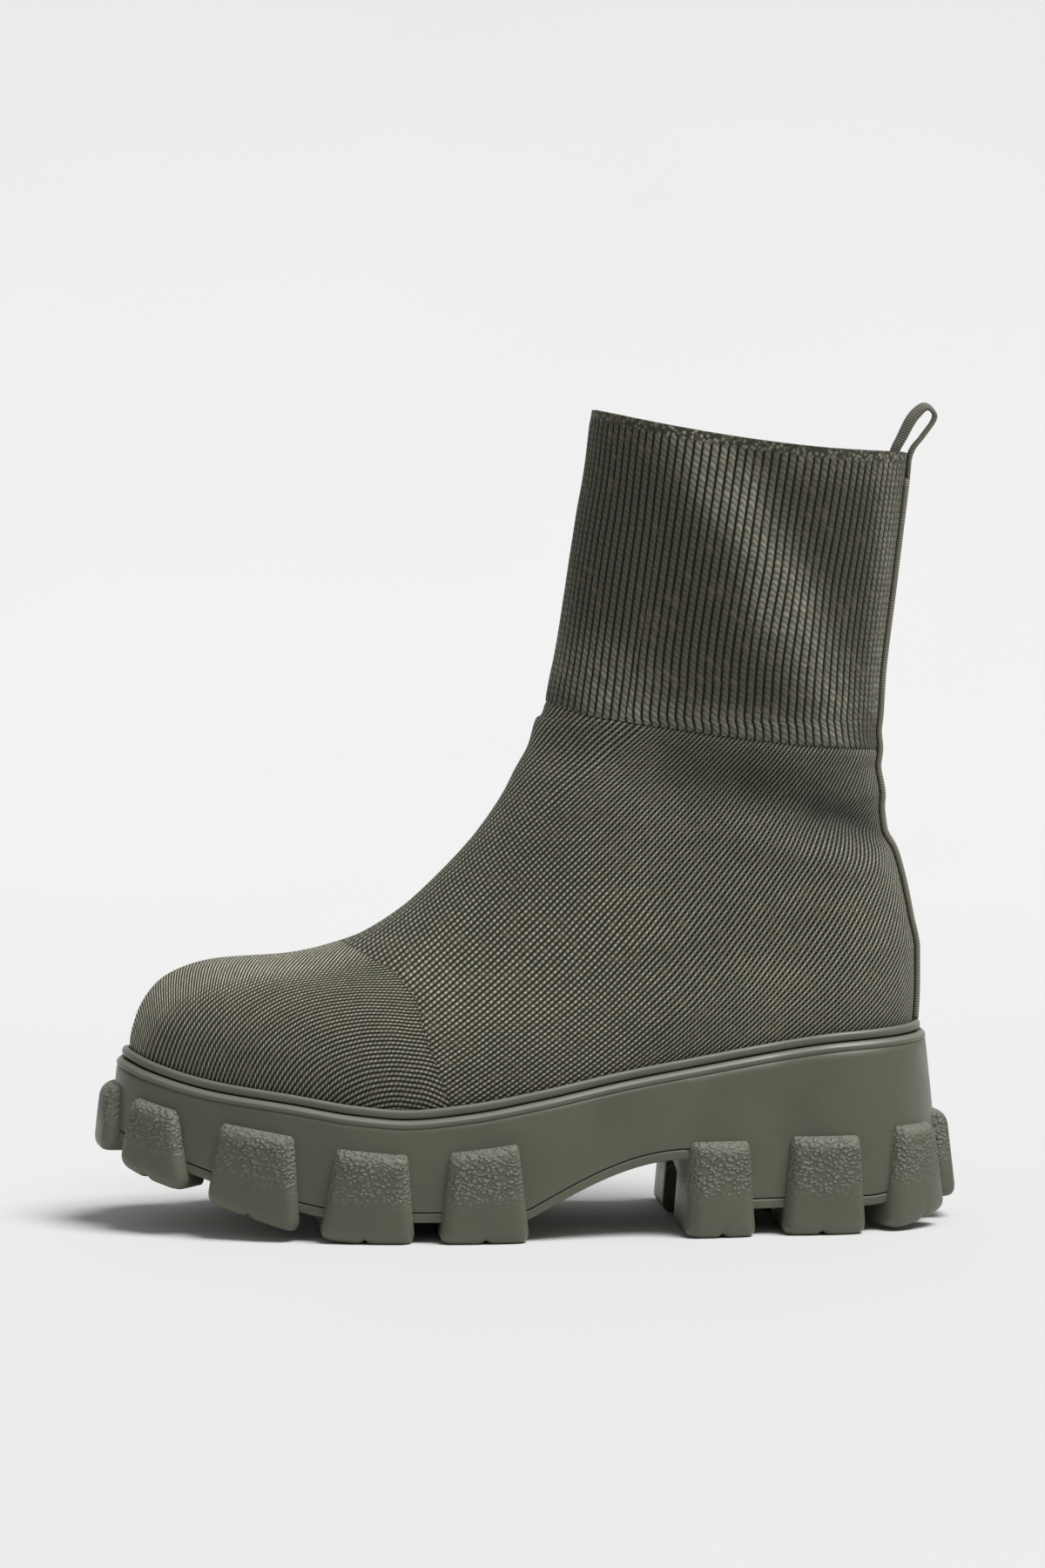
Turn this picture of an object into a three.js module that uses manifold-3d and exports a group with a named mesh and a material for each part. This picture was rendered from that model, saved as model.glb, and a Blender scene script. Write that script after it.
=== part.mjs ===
// Left ankle boot with a knitted sock upper on a thick lugged sole.
// Millimetres, +Z up. The toe points to -X, the outer (lateral) side is -Y and the sole stands on Z = 0.
import * as THREE from 'three';
import { mergeVertices } from 'three/addons/utils/BufferGeometryUtils.js';
import Module from 'manifold-3d';

const wasm = await Module();
wasm.setup();

// Lengths, widths and heights of the upper, outside the knit
const upperLength = 256;
const ballWidth = 93;
const shaftWidth = 76;
const toeSwing = 9;
const swingStation = 0.7;
const instepHeight = 108;
const ankleDrop = 9.5;
const ankleHeight = instepHeight - ankleDrop;
const shaftHeight = 99.4;
const collarSlope = 12.5;
const collarDip = 2.7;
const knitWall = 2.5;

// Height of the rand's top edge above the ground at the ball, and how much higher it is at toe and heel
const ballStand = 42;
const toeRise = 15.5;
const heelRise = 23.5;
const ballStation = 0.345;
const toeStand = ballStand + toeRise;
const heelStand = ballStand + heelRise;

// Clearance between pieces that touch
const clearance = 0.3;

// Rand and the ledge under it
const randHeight = 2.9;
const randProud = 2.5;
const randTopEase = 0.25;
const ledgeSlopeWidth = 1.75;
const ledgeSlopeDrop = 1.3;
const ledgeSide = 1.4;
const wallFlare = 0.105;

// Underside of the sole
const layerThickness = 3;
const toeSlope = 0.325;
const toeCurl = 0.45;
const heelBevel = 3.5;
const archRise = 18.5;
const foreLugDepth = 6.5;
const heelLugDepth = 8.5;
const springStation = 0.3;
const straightToeStation = 0.17;
const curlStation = 0.03;
const archStart = 0.488;
const breastStation = 0.698;
const bevelStation = 0.93;

// Lugs
const lugHeight = 31;
const lugProud = 5;
const channelHalfWidth = 13;
const toeTreadRadius = 20;

// Insole, tape over the back seam and pull loop
const insoleThickness = 4;
const tapeWidth = 10;
const tapeThickness = 1.3;
const loopWidth = 8;
const loopThickness = 1.6;
const loopHeight = 16.5;
const loopLeg = 8;

// Fineness of the meshes: points round a ring, rings to a course, steps along the tape and the loop, and the
// steps of the underside's outline along the toe roll, the arch and the heel bevel, as shares of the length
const ringSegments = 44;
const stepsPerCourse = 2;
const tapeSteps = 18;
const loopSteps = 30;
const rollStep = 0.05;
const archStep = 0.2;
const bevelStep = 0.03;

// Small steps that slopes are measured over, along the courses and round a ring in radians
const levelStep = 0.02;
const angleStep = 0.01;

// How far the blocks that trim the sole run past it, at its ends and below the ground
const trimOverhang = 30;
const trimDepth = 40;
const bodyDepth = 20;

// Rings of the knit from the feather edge up to the collar. front and rear are shares of the upper's length
// from the toe, foot and heel are shares of the instep and ankle heights, shaft is a share of the shaft's
// height, width is a share of the ball width (of the shaft width from form 1 up), form is 0 at the foot, 1 at
// the ankle and 2 at the shaft, and dip is the share of the rand's drop at the ball that the ring keeps.
const courses = [
  { name: 'feather edge', front: 0.022, rear: 0.981, foot: -0.134, heel: -0.147,
    shaft: 0, width: 0.9, form: 0, dip: 0.97 },
  { name: 'rand', front: 0, rear: 1.003, foot: 0, heel: 0,
    shaft: 0, width: 1, form: 0, dip: 1 },
  { name: 'toe wall', front: 0.0085, rear: 1.005, foot: 0.095, heel: 0.122,
    shaft: 0, width: 1.012, form: 0, dip: 1 },
  { name: 'toe shoulder', front: 0.041, rear: 1.005, foot: 0.205, heel: 0.233,
    shaft: 0, width: 0.975, form: 0, dip: 0.98 },
  { name: 'toe top', front: 0.107, rear: 0.997, foot: 0.264, heel: 0.345,
    shaft: 0, width: 0.905, form: 0.15, dip: 0.88 },
  { name: 'toe back', front: 0.2, rear: 0.9895, foot: 0.2815, heel: 0.4416,
    shaft: 0, width: 0.86, form: 0.4, dip: 0.62 },
  { name: 'vamp', front: 0.278, rear: 0.979, foot: 0.329, heel: 0.543,
    shaft: 0, width: 0.825, form: 0.65, dip: 0.33 },
  { name: 'instep', front: 0.349, rear: 0.966, foot: 0.426, heel: 0.64,
    shaft: 0, width: 0.8, form: 0.85, dip: 0.12 },
  { name: 'high instep', front: 0.418, rear: 0.9555, foot: 0.588, heel: 0.741,
    shaft: 0, width: 0.775, form: 1, dip: 0 },
  { name: 'ankle front', front: 0.479, rear: 0.956, foot: 0.78, heel: 0.853,
    shaft: 0, width: 0.745, form: 1.1, dip: 0 },
  { name: 'ankle bend', front: 0.5205, rear: 0.9565, foot: 1, heel: 1,
    shaft: 0, width: 0.755, form: 1.4, dip: 0 },
  { name: 'rib border', front: 0.539, rear: 0.9595, foot: 1, heel: 1,
    shaft: 0.16, width: 0.82, form: 1.7, dip: 0 },
  { name: 'mid shaft', front: 0.563, rear: 0.974, foot: 1, heel: 1,
    shaft: 0.525, width: 0.93, form: 2, dip: 0 },
  { name: 'collar', front: 0.5895, rear: 0.993, foot: 1, heel: 1,
    shaft: 1, width: 1, form: 2, dip: 0 },
];
const featherCourse = 0;
const randCourse = 1;
const collarCourse = courses.length - 1;

// Fullness of a ring's outline against an ellipse, by share of its length from the front
const outlineForms = [
  { at: 0, lateral: 1.12, medial: 1.2, ankle: 0.84, shaft: 0.98 },
  { at: 0.15, lateral: 1.08, medial: 1.16, ankle: 0.9, shaft: 1 },
  { at: 0.35, lateral: 1.04, medial: 1.03, ankle: 0.92, shaft: 1 },
  { at: 0.5, lateral: 0.94, medial: 0.87, ankle: 0.95, shaft: 1 },
  { at: 0.65, lateral: 0.84, medial: 0.79, ankle: 1.04, shaft: 1 },
  { at: 0.8, lateral: 0.86, medial: 0.86, ankle: 1.16, shaft: 1 },
  { at: 0.9, lateral: 1.06, medial: 1.06, ankle: 1.2, shaft: 1 },
  { at: 1, lateral: 1.32, medial: 1.32, ankle: 1.15, shaft: 1.02 },
];

// Drop of the rand below the straight line from toe to heel, as a share of its drop at the ball
const randLine = [
  { at: 0, drop: 0 },
  { at: 0.03, drop: 0.18 },
  { at: 0.1, drop: 0.46 },
  { at: 0.2, drop: 0.7 },
  { at: 0.28, drop: 0.91 },
  { at: ballStation, drop: 1 },
  { at: 0.42, drop: 0.93 },
  { at: 0.5, drop: 0.77 },
  { at: 0.6, drop: 0.53 },
  { at: 0.7, drop: 0.33 },
  { at: 0.8, drop: 0.15 },
  { at: 0.9, drop: 0.02 },
  { at: 1, drop: 0 },
];

// Lugs of one side: degrees round the wall from the toe, at the foot and at the top of each lug, the share of
// the lug height that it climbs, and how far its top edge follows the slope of the rand. The toe and heel
// lugs stand on the centre line.
const sideLugs = [
  { name: 'toe corner', from: 15, to: 34.6, topFrom: 17.8, topTo: 30.4, climb: 0.76, slope: 1 },
  { name: 'fore', from: 38.4, to: 55.4, topFrom: 40.6, topTo: 54, climb: 0.9, slope: 1.25 },
  { name: 'ball front', from: 58.4, to: 72.7, topFrom: 60.9, topTo: 71.6, climb: 0.93, slope: 0.9 },
  { name: 'ball back', from: 75.9, to: 88.6, topFrom: 77.5, topTo: 87.2, climb: 0.96, slope: 0.8 },
  { name: 'heel front', from: 111.5, to: 122.8, topFrom: 112.8, topTo: 122.2, climb: 0.98, slope: 0 },
  { name: 'heel middle', from: 127.7, to: 144.4, topFrom: 130.4, topTo: 144, climb: 1.01, slope: 0 },
  { name: 'heel corner', from: 148.8, to: 166.5, topFrom: 153.2, topTo: 165.3, climb: 0.98, slope: 0.3 },
];
const centreLugs = [
  { name: 'toe', from: -11, to: 11, topFrom: -8, topTo: 8, climb: 0.68, slope: 1 },
  { name: 'heel', from: 173, to: 187, topFrom: 175, topTo: 185, climb: 0.9, slope: 0 },
];

// Swell of a lug up its height and across its face, as shares of how far it stands proud
const lugSwell = [
  { up: 0, proud: 0.45 },
  { up: 0.07, proud: 0.93 },
  { up: 0.35, proud: 1 },
  { up: 0.7, proud: 0.95 },
  { up: 0.93, proud: 0.75 },
  { up: 1, proud: 0.35 },
];
const lugFace = [
  { across: -1, proud: 0.45 },
  { across: -0.82, proud: 0.93 },
  { across: 0, proud: 1 },
  { across: 0.82, proud: 0.93 },
  { across: 1, proud: 0.45 },
];
const lugEase = 0.05;

// Outer face of the rand from its top edge down, as shares of how far it stands proud and of its height
const randFace = [
  { out: 0.55, down: 0 },
  { out: 0.9, down: 0.22 },
  { out: 1, down: 0.55 },
  { out: 0.85, down: 1 },
];

// Free stretch of the pull loop over the collar's back, as shares of its height
const loopCrown = [
  { back: -0.097, up: 0.3 },
  { back: 0.158, up: 0.75 },
  { back: 0.4, up: 0.93 },
  { back: 0.57, up: 0.75 },
  { back: 0.34, up: 0.36 },
  { back: 0.133, up: 0.1 },
];

// Slope of a table's column at a row, kept level at a peak so that the curve never overshoots
function columnSlope(rows, key, column, index) {
  const before = rows[index - 1];
  const row = rows[index];
  const after = rows[index + 1];
  const slopeIn = before ? (row[column] - before[column]) / (row[key] - before[key]) : null;
  const slopeOut = after ? (after[column] - row[column]) / (after[key] - row[key]) : null;
  if (slopeIn === null) return slopeOut;
  if (slopeOut === null) return slopeIn;
  if (slopeIn * slopeOut <= 0) return 0;
  return (2 * slopeIn * slopeOut) / (slopeIn + slopeOut);
}

// Smooth value of a table's column between its rows
function readTable(rows, key, column, value) {
  const last = rows.length - 1;
  const place = THREE.MathUtils.clamp(value, rows[0][key], rows[last][key]);
  let index = 0;
  while (index < last - 1 && place > rows[index + 1][key]) index += 1;
  const span = rows[index + 1][key] - rows[index][key];
  const t = (place - rows[index][key]) / span;
  const start = rows[index][column];
  const end = rows[index + 1][column];
  const startSlope = columnSlope(rows, key, column, index) * span;
  const endSlope = columnSlope(rows, key, column, index + 1) * span;
  const rise = t * t * (3 - 2 * t);
  return start + (end - start) * rise + startSlope * t * (1 - t) * (1 - t) - endSlope * t * t * (1 - t);
}

const numberedCourses = courses.map((row, level) => ({ ...row, level }));

function courseAt(level) {
  const read = (column) => readTable(numberedCourses, 'level', column, level);
  const shaft = read('shaft') * shaftHeight;
  const rearShaft = read('shaft') * (shaftHeight - collarSlope);
  const form = read('form');
  const fullWidth = THREE.MathUtils.lerp(ballWidth, shaftWidth, THREE.MathUtils.clamp(form - 1, 0, 1));
  return {
    frontX: read('front') * upperLength,
    rearX: read('rear') * upperLength,
    frontZ: toeStand + read('foot') * instepHeight + shaft,
    rearZ: heelStand + read('heel') * ankleHeight + rearShaft,
    shaftShare: read('shaft'),
    halfWidth: (read('width') * fullWidth) / 2,
    form,
    dip: read('dip'),
  };
}

// Fullness at a share of the ring's length, blended from foot to ankle to shaft
function fullness(station, form, column) {
  const foot = readTable(outlineForms, 'at', column, station);
  const ankle = readTable(outlineForms, 'at', 'ankle', station);
  const shaft = readTable(outlineForms, 'at', 'shaft', station);
  if (form < 1) return THREE.MathUtils.lerp(foot, ankle, form);
  return THREE.MathUtils.lerp(ankle, shaft, form - 1);
}

// Point on the outside of the knit. The angle runs from the toe (0) by the lateral side to the heel (PI).
function knitSurface(level, angle) {
  const course = courseAt(level);
  const station = (1 - Math.cos(angle)) / 2;
  const side = Math.sin(angle);
  const full = fullness(station, course.form, side > 0 ? 'lateral' : 'medial');
  const ballDrop = THREE.MathUtils.lerp(toeStand, heelStand, ballStation) - ballStand;
  const drop = readTable(randLine, 'at', 'drop', station) * ballDrop * course.dip;
  const footness = THREE.MathUtils.clamp(1 - course.form, 0, 1);
  const swing = toeSwing * footness * Math.max(0, 1 - station / swingStation) ** 2;
  const sag = collarDip * course.shaftShare ** 2 * side ** 2;
  return new THREE.Vector3(
    THREE.MathUtils.lerp(course.frontX, course.rearX, station),
    swing - side * full * course.halfWidth,
    THREE.MathUtils.lerp(course.frontZ, course.rearZ, station) - drop - sag,
  );
}

// Point at a distance outside the knit's outer surface, negative for inside
function knitOffset(level, angle, distance) {
  const upward = level > collarCourse / 2 ? -1 : 1;
  const point = knitSurface(level, angle);
  const up = knitSurface(level + upward * levelStep, angle).sub(point).multiplyScalar(upward);
  const round = knitSurface(level, angle + angleStep).sub(knitSurface(level, angle - angleStep));
  const normal = round.cross(up).normalize();
  return point.addScaledVector(normal, distance);
}

function ringAngles(count = ringSegments) {
  return Array.from({ length: count }, (_, index) => (2 * Math.PI * index) / count);
}

function ring(makePoint) {
  return ringAngles().map(makePoint);
}

// Joins rings of equally many points into a closed mesh. Rings that close on themselves make a hollow band,
// and open ones are closed across at both ends, from each point to the one facing it on the other side.
function meshFromRings(rings, closesOnItself) {
  const count = rings[0].length;
  const positions = rings.flatMap((points) => points.flatMap((point) => [point.x, point.y, point.z]));
  const indices = [];
  const bands = closesOnItself ? rings.length : rings.length - 1;
  for (let band = 0; band < bands; band += 1) {
    const lower = band * count;
    const upper = ((band + 1) % rings.length) * count;
    for (let index = 0; index < count; index += 1) {
      const next = (index + 1) % count;
      indices.push(lower + index, lower + next, upper + next);
      indices.push(lower + index, upper + next, upper + index);
    }
  }
  if (!closesOnItself) {
    const top = (rings.length - 1) * count;
    for (let index = 0; index < count / 2; index += 1) {
      const left = index;
      const nextLeft = index + 1;
      const right = (count - index) % count;
      const nextRight = count - index - 1;
      if (left !== right) {
        indices.push(right, nextLeft, left);
        indices.push(top + left, top + nextLeft, top + right);
      }
      if (nextLeft !== nextRight) {
        indices.push(right, nextRight, nextLeft);
        indices.push(top + nextLeft, top + nextRight, top + right);
      }
    }
  }
  const geometry = new THREE.BufferGeometry();
  geometry.setAttribute('position', new THREE.Float32BufferAttribute(positions, 3));
  geometry.setIndex(indices);
  return faceOutward(geometry);
}

// Turns the faces over where a mesh encloses a negative volume
function faceOutward(geometry) {
  const position = geometry.getAttribute('position');
  const index = geometry.getIndex().array;
  const corner = [new THREE.Vector3(), new THREE.Vector3(), new THREE.Vector3()];
  let volume = 0;
  for (let face = 0; face < index.length; face += 3) {
    corner.forEach((vertex, place) => vertex.fromBufferAttribute(position, index[face + place]));
    volume += corner[0].dot(corner[1].clone().cross(corner[2])) / 6;
  }
  if (volume < 0) geometry.setIndex(Array.from(index).reverse());
  geometry.computeVertexNormals();
  return geometry;
}

function solidOf(source) {
  const geometry = source.clone();
  geometry.deleteAttribute('normal');
  geometry.deleteAttribute('uv');
  const merged = mergeVertices(geometry, 1e-4);
  return new wasm.Manifold(new wasm.Mesh({
    numProp: 3,
    vertProperties: new Float32Array(merged.getAttribute('position').array),
    triVerts: new Uint32Array(merged.getIndex().array),
  }));
}

function geometryOf(solid) {
  const mesh = solid.getMesh();
  const geometry = new THREE.BufferGeometry();
  geometry.setAttribute('position', new THREE.Float32BufferAttribute(mesh.vertProperties, 3));
  geometry.setIndex(Array.from(mesh.triVerts));
  geometry.computeVertexNormals();
  return geometry;
}

// Knit upper: one hollow wall, open at the collar and underneath
function makeUpper() {
  const steps = collarCourse * stepsPerCourse;
  const levels = Array.from({ length: steps + 1 }, (_, index) => index / stepsPerCourse);
  const outer = levels.map((level) => ring((angle) => knitSurface(level, angle)));
  const inner = levels.map((level) => ring((angle) => knitOffset(level, angle, -knitWall))).reverse();
  return meshFromRings([...outer, ...inner], true);
}

// Height of the rand's top edge and outward direction in plan, at an angle round the boot
function randEdge(angle) {
  const point = knitSurface(randCourse, angle);
  const along = knitSurface(randCourse, angle + angleStep).sub(knitSurface(randCourse, angle - angleStep));
  const outward = new THREE.Vector3(along.y, -along.x, 0).normalize();
  return { point, outward };
}

// Point outside the rand line, a distance out and a depth below its top edge
function besideRand(angle, out, depth) {
  const { point, outward } = randEdge(angle);
  return point.addScaledVector(outward, out).add(new THREE.Vector3(0, 0, -depth));
}

const ledgeTopDepth = randHeight + clearance;
const ledgeEdgeDepth = ledgeTopDepth + ledgeSlopeDrop;
const wallTopDepth = ledgeEdgeDepth + ledgeSide;
const wallTopOut = randProud + ledgeSlopeWidth;

// Point on the sole's flared wall at a height above the ground
function wallPoint(angle, height, out = 0) {
  const { point, outward } = randEdge(angle);
  const wallTop = point.z - wallTopDepth;
  const flare = Math.max(0, wallTop - height) * wallFlare;
  const result = point.addScaledVector(outward, wallTopOut + flare + out);
  result.z = height;
  return result;
}

// Rand: bead laid round the foot of the knit, on the ledge of the midsole
function makeRand() {
  const onKnit = (depth) => ring((angle) => (
    knitOffset(randCourse - (depth / randHeight) * randLevelDrop(), angle, clearance)
  ));
  const face = randFace.map(({ out, down }) => ring((angle) => (
    besideRand(angle, out * randProud, down * randHeight)
  )));
  return meshFromRings([onKnit(randTopEase), ...face, onKnit(randHeight)], true);
}

// Share of a course between the rand's top and bottom edges on the knit
function randLevelDrop() {
  const featherDepth = -courses[featherCourse].foot * instepHeight;
  return randHeight / featherDepth;
}

// Height that the sole's underside is lifted: it rolls up to a straight toe with a curled tip, and is
// bevelled at the heel
function groundLift(x) {
  const share = x / upperLength;
  const ahead = Math.max(0, springStation - share) * upperLength;
  const roll = (springStation - straightToeStation) * upperLength;
  const spring = ahead < roll ? (toeSlope * ahead ** 2) / (2 * roll) : toeSlope * (ahead - roll / 2);
  const curl = toeCurl * Math.max(0, 1 - share / curlStation) ** 2;
  const bevel = Math.max(0, (share - bevelStation) / (1 - bevelStation));
  return spring + curl + heelBevel * bevel ** 1.5;
}

function undersideHeight(x) {
  const share = x / upperLength;
  const inArch = share > archStart && share < breastStation;
  const archPlace = (share - archStart) / (breastStation - archStart);
  const arch = inArch ? archRise * Math.sin((archPlace * Math.PI) / 2) : 0;
  const depth = share < breastStation ? foreLugDepth : heelLugDepth;
  return groundLift(x) + depth + arch;
}

// Block below the underside, raised by a height, to cut the sole with
function belowUnderside(raise) {
  const overhang = trimOverhang / upperLength;
  const stations = [-overhang];
  for (let share = -overhang + rollStep; share < springStation; share += rollStep) stations.push(share);
  stations.push(springStation);
  for (let place = 0; place < 1; place += archStep) {
    stations.push(THREE.MathUtils.lerp(archStart, breastStation, place));
  }
  const outline = stations.map((share) => (
    new THREE.Vector2(share * upperLength, undersideHeight(share * upperLength) + raise)
  ));
  const breast = breastStation * upperLength;
  const archTop = groundLift(breast) + foreLugDepth + archRise;
  outline.push(new THREE.Vector2(breast + raise, archTop + raise));
  outline.push(new THREE.Vector2(breast + raise, undersideHeight(breast) + raise));
  for (let share = bevelStation; share < 1 + overhang; share += bevelStep) {
    outline.push(new THREE.Vector2(share * upperLength, undersideHeight(share * upperLength) + raise));
  }
  const rearEnd = upperLength + trimOverhang;
  outline.push(new THREE.Vector2(rearEnd, undersideHeight(rearEnd) + raise));
  outline.push(new THREE.Vector2(rearEnd, -trimDepth));
  outline.push(new THREE.Vector2(-trimOverhang, -trimDepth));
  const depth = 3 * ballWidth;
  const block = new THREE.ExtrudeGeometry(new THREE.Shape(outline), { depth, bevelEnabled: false, steps: 1 });
  block.rotateX(Math.PI / 2);
  block.translate(0, depth / 2, 0);
  return solidOf(block);
}

// Side of the sole, grown by a distance, from below the ground up to the ledge's edge
function soleBody(grown) {
  return [
    ring((angle) => wallPoint(angle, -bodyDepth, grown)),
    ring((angle) => wallPoint(angle, randEdge(angle).point.z - wallTopDepth, grown)),
    ring((angle) => besideRand(angle, wallTopOut + grown, ledgeEdgeDepth)),
  ];
}

// Midsole: platform with a cup for the foot of the knit
function makeMidsole() {
  const lipLevel = randCourse - (ledgeTopDepth / randHeight) * randLevelDrop();
  const cupLevels = [3, 2, 1, 0].map((step) => THREE.MathUtils.lerp(featherCourse, lipLevel, step / 3));
  const rings = [
    ...soleBody(0),
    ring((angle) => besideRand(angle, randProud, ledgeTopDepth)),
    ...cupLevels.map((level) => ring((angle) => knitOffset(level, angle, clearance))),
    ring((angle) => knitSurface(featherCourse, angle).add(new THREE.Vector3(0, 0, -clearance))),
  ];
  const platform = solidOf(meshFromRings(rings, false));
  return geometryOf(platform.subtract(belowUnderside(layerThickness + clearance)));
}

// Insole: board and sock lining inside the foot of the knit
function makeInsole() {
  const featherDepth = -courses[featherCourse].foot * instepHeight;
  const topLevel = insoleThickness / featherDepth;
  const rings = [featherCourse, topLevel / 2, topLevel].map((level) => ring((angle) => (
    knitOffset(level, angle, -knitWall - clearance)
  )));
  return meshFromRings(rings, false);
}

// Point on the tread's centre line nearest to a point of the wall
function treadCentre(point) {
  const reach = toeTreadRadius + channelHalfWidth;
  return new THREE.Vector3(THREE.MathUtils.clamp(point.x, reach, upperLength - reach), 0, point.z);
}

// One lug: a swollen block that stands on the ground, climbs the wall and runs in under the sole
function makeLug(lug, side) {
  const middle = THREE.MathUtils.degToRad((lug.from + lug.to) / 2) * side;
  const middleFoot = wallPoint(middle, 0);
  const middleTop = randEdge(middle).point.z;
  const rings = lugSwell.map(({ up, proud }) => {
    const from = THREE.MathUtils.lerp(lug.from, lug.topFrom, up);
    const to = THREE.MathUtils.lerp(lug.to, lug.topTo, up);
    const face = lugFace.map((place) => {
      const share = (place.across + 1) / 2;
      const angle = THREE.MathUtils.degToRad(THREE.MathUtils.lerp(from, to, share)) * side;
      const foot = wallPoint(angle, 0);
      const footZ = groundLift(foot.x);
      const topSlope = (randEdge(angle).point.z - middleTop) * lug.slope;
      const topZ = groundLift(middleFoot.x) + lug.climb * lugHeight + topSlope;
      const height = THREE.MathUtils.lerp(footZ, topZ, up);
      return wallPoint(angle, height, lugProud * Math.min(proud, place.proud * proud + lugEase));
    });
    const inner = [face[face.length - 1], face[0]].map((edge) => {
      const centre = treadCentre(edge);
      const atEnds = Math.abs(edge.x - centre.x) > 0;
      const stop = atEnds ? toeTreadRadius : channelHalfWidth;
      return centre.clone().add(edge.clone().sub(centre).setLength(stop));
    });
    return [...face, ...inner];
  });
  return solidOf(meshFromLayers(rings));
}

// Closed mesh through layers of equally many points, each layer a convex outline
function meshFromLayers(layers) {
  const count = layers[0].length;
  const positions = layers.flatMap((points) => points.flatMap((point) => [point.x, point.y, point.z]));
  const indices = [];
  for (let layer = 0; layer < layers.length - 1; layer += 1) {
    for (let index = 0; index < count; index += 1) {
      const next = (index + 1) % count;
      const lower = layer * count;
      const upper = lower + count;
      indices.push(lower + index, lower + next, upper + next);
      indices.push(lower + index, upper + next, upper + index);
    }
  }
  const top = (layers.length - 1) * count;
  for (let index = 1; index < count - 1; index += 1) {
    indices.push(0, index + 1, index);
    indices.push(top, top + index, top + index + 1);
  }
  const geometry = new THREE.BufferGeometry();
  geometry.setAttribute('position', new THREE.Float32BufferAttribute(positions, 3));
  geometry.setIndex(indices);
  return faceOutward(geometry);
}

// Outsole: rubber layer under the midsole with its lugs
function makeOutsole() {
  const top = ring((angle) => randEdge(angle).point);
  const body = solidOf(meshFromRings([...soleBody(0), top], false));
  const layer = body.intersect(belowUnderside(layerThickness)).subtract(belowUnderside(0));
  const grownBody = solidOf(meshFromRings([...soleBody(clearance), top], false));
  const grown = grownBody.subtract(belowUnderside(layerThickness));
  let lugs = null;
  for (const lug of sideLugs) {
    for (const side of [1, -1]) {
      const solid = makeLug(lug, side);
      lugs = lugs ? lugs.add(solid) : solid;
    }
  }
  for (const lug of centreLugs) lugs = lugs.add(makeLug(lug, 1));
  return geometryOf(lugs.subtract(grown).add(layer));
}

// Tape over the back seam, from the pull loop down to the rand
function makeBackTape() {
  const topLevel = collarCourse - (loopLeg + clearance) / courseHeight(collarCourse - 1);
  const bottomLevel = randCourse + clearance / courseHeight(randCourse);
  const layers = Array.from({ length: tapeSteps + 1 }, (_, index) => {
    const level = THREE.MathUtils.lerp(bottomLevel, topLevel, index / tapeSteps);
    return strapSection(level, tapeWidth, clearance, clearance + tapeThickness);
  });
  return meshFromLayers(layers);
}

// Millimetres of the knit's back from a course to the next one up
function courseHeight(course) {
  return knitSurface(course + 1, Math.PI).distanceTo(knitSurface(course, Math.PI));
}

// Angle from the back seam to the edge of a strap of a width
function strapReach(level, width) {
  const span = knitSurface(level, Math.PI + angleStep).distanceTo(knitSurface(level, Math.PI - angleStep));
  return (width / 2) * ((2 * angleStep) / span);
}

// Section of a strap that lies on the back of the knit
function strapSection(level, width, nearSide, farSide) {
  const reach = strapReach(level, width);
  const across = [-1, -0.5, 0, 0.5, 1];
  const near = across.map((share) => knitOffset(level, Math.PI + share * reach, nearSide));
  const far = across.map((share) => knitOffset(level, Math.PI + share * reach, farSide)).reverse();
  return [...near, ...far];
}

// Pull loop: a doubled strip of tape that leans back over the collar, one leg inside and one outside
function makePullLoop() {
  const collarBack = knitSurface(collarCourse, Math.PI);
  const legDrop = loopLeg / courseHeight(collarCourse - 1);
  const outside = clearance + loopThickness / 2;
  const wallBack = knitOffset(collarCourse, Math.PI, -knitWall);
  const wallAtEdge = knitOffset(collarCourse, Math.PI + strapReach(collarCourse, loopWidth), -knitWall);
  const wallBend = wallBack.x - wallAtEdge.x;
  const inside = -knitWall - wallBend - clearance - loopThickness / 2;
  const leg = (distance, share) => knitOffset(collarCourse - legDrop * share, Math.PI, distance);
  const crown = loopCrown.map(({ back, up }) => (
    collarBack.clone().add(new THREE.Vector3(back, 0, up).multiplyScalar(loopHeight))
  ));
  const path = new THREE.CatmullRomCurve3([
    leg(inside, 1),
    leg(inside, 0.5),
    leg(inside, 0),
    ...crown,
    leg(outside, 0.2),
    leg(outside, 0.6),
    leg(outside, 1),
  ], false, 'centripetal');
  const layers = path.getSpacedPoints(loopSteps).map((point, index) => {
    const along = path.getTangentAt(index / loopSteps);
    const across = new THREE.Vector3(0, 1, 0);
    const through = across.clone().cross(along).normalize();
    return [[-1, -1], [1, -1], [1, 1], [-1, 1]].map(([wide, thick]) => point.clone()
      .addScaledVector(across, (wide * loopWidth) / 2)
      .addScaledVector(through, (thick * loopThickness) / 2));
  });
  return meshFromLayers(layers);
}

const finishes = {
  knit: new THREE.MeshStandardMaterial({ color: 0x5b5a4d, roughness: 0.9, metalness: 0 }),
  webbing: new THREE.MeshStandardMaterial({ color: 0x57564a, roughness: 0.8, metalness: 0 }),
  lining: new THREE.MeshStandardMaterial({ color: 0x3c3b33, roughness: 0.95, metalness: 0 }),
  rubber: new THREE.MeshStandardMaterial({ color: 0x5b5d53, roughness: 0.6, metalness: 0 }),
};

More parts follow.
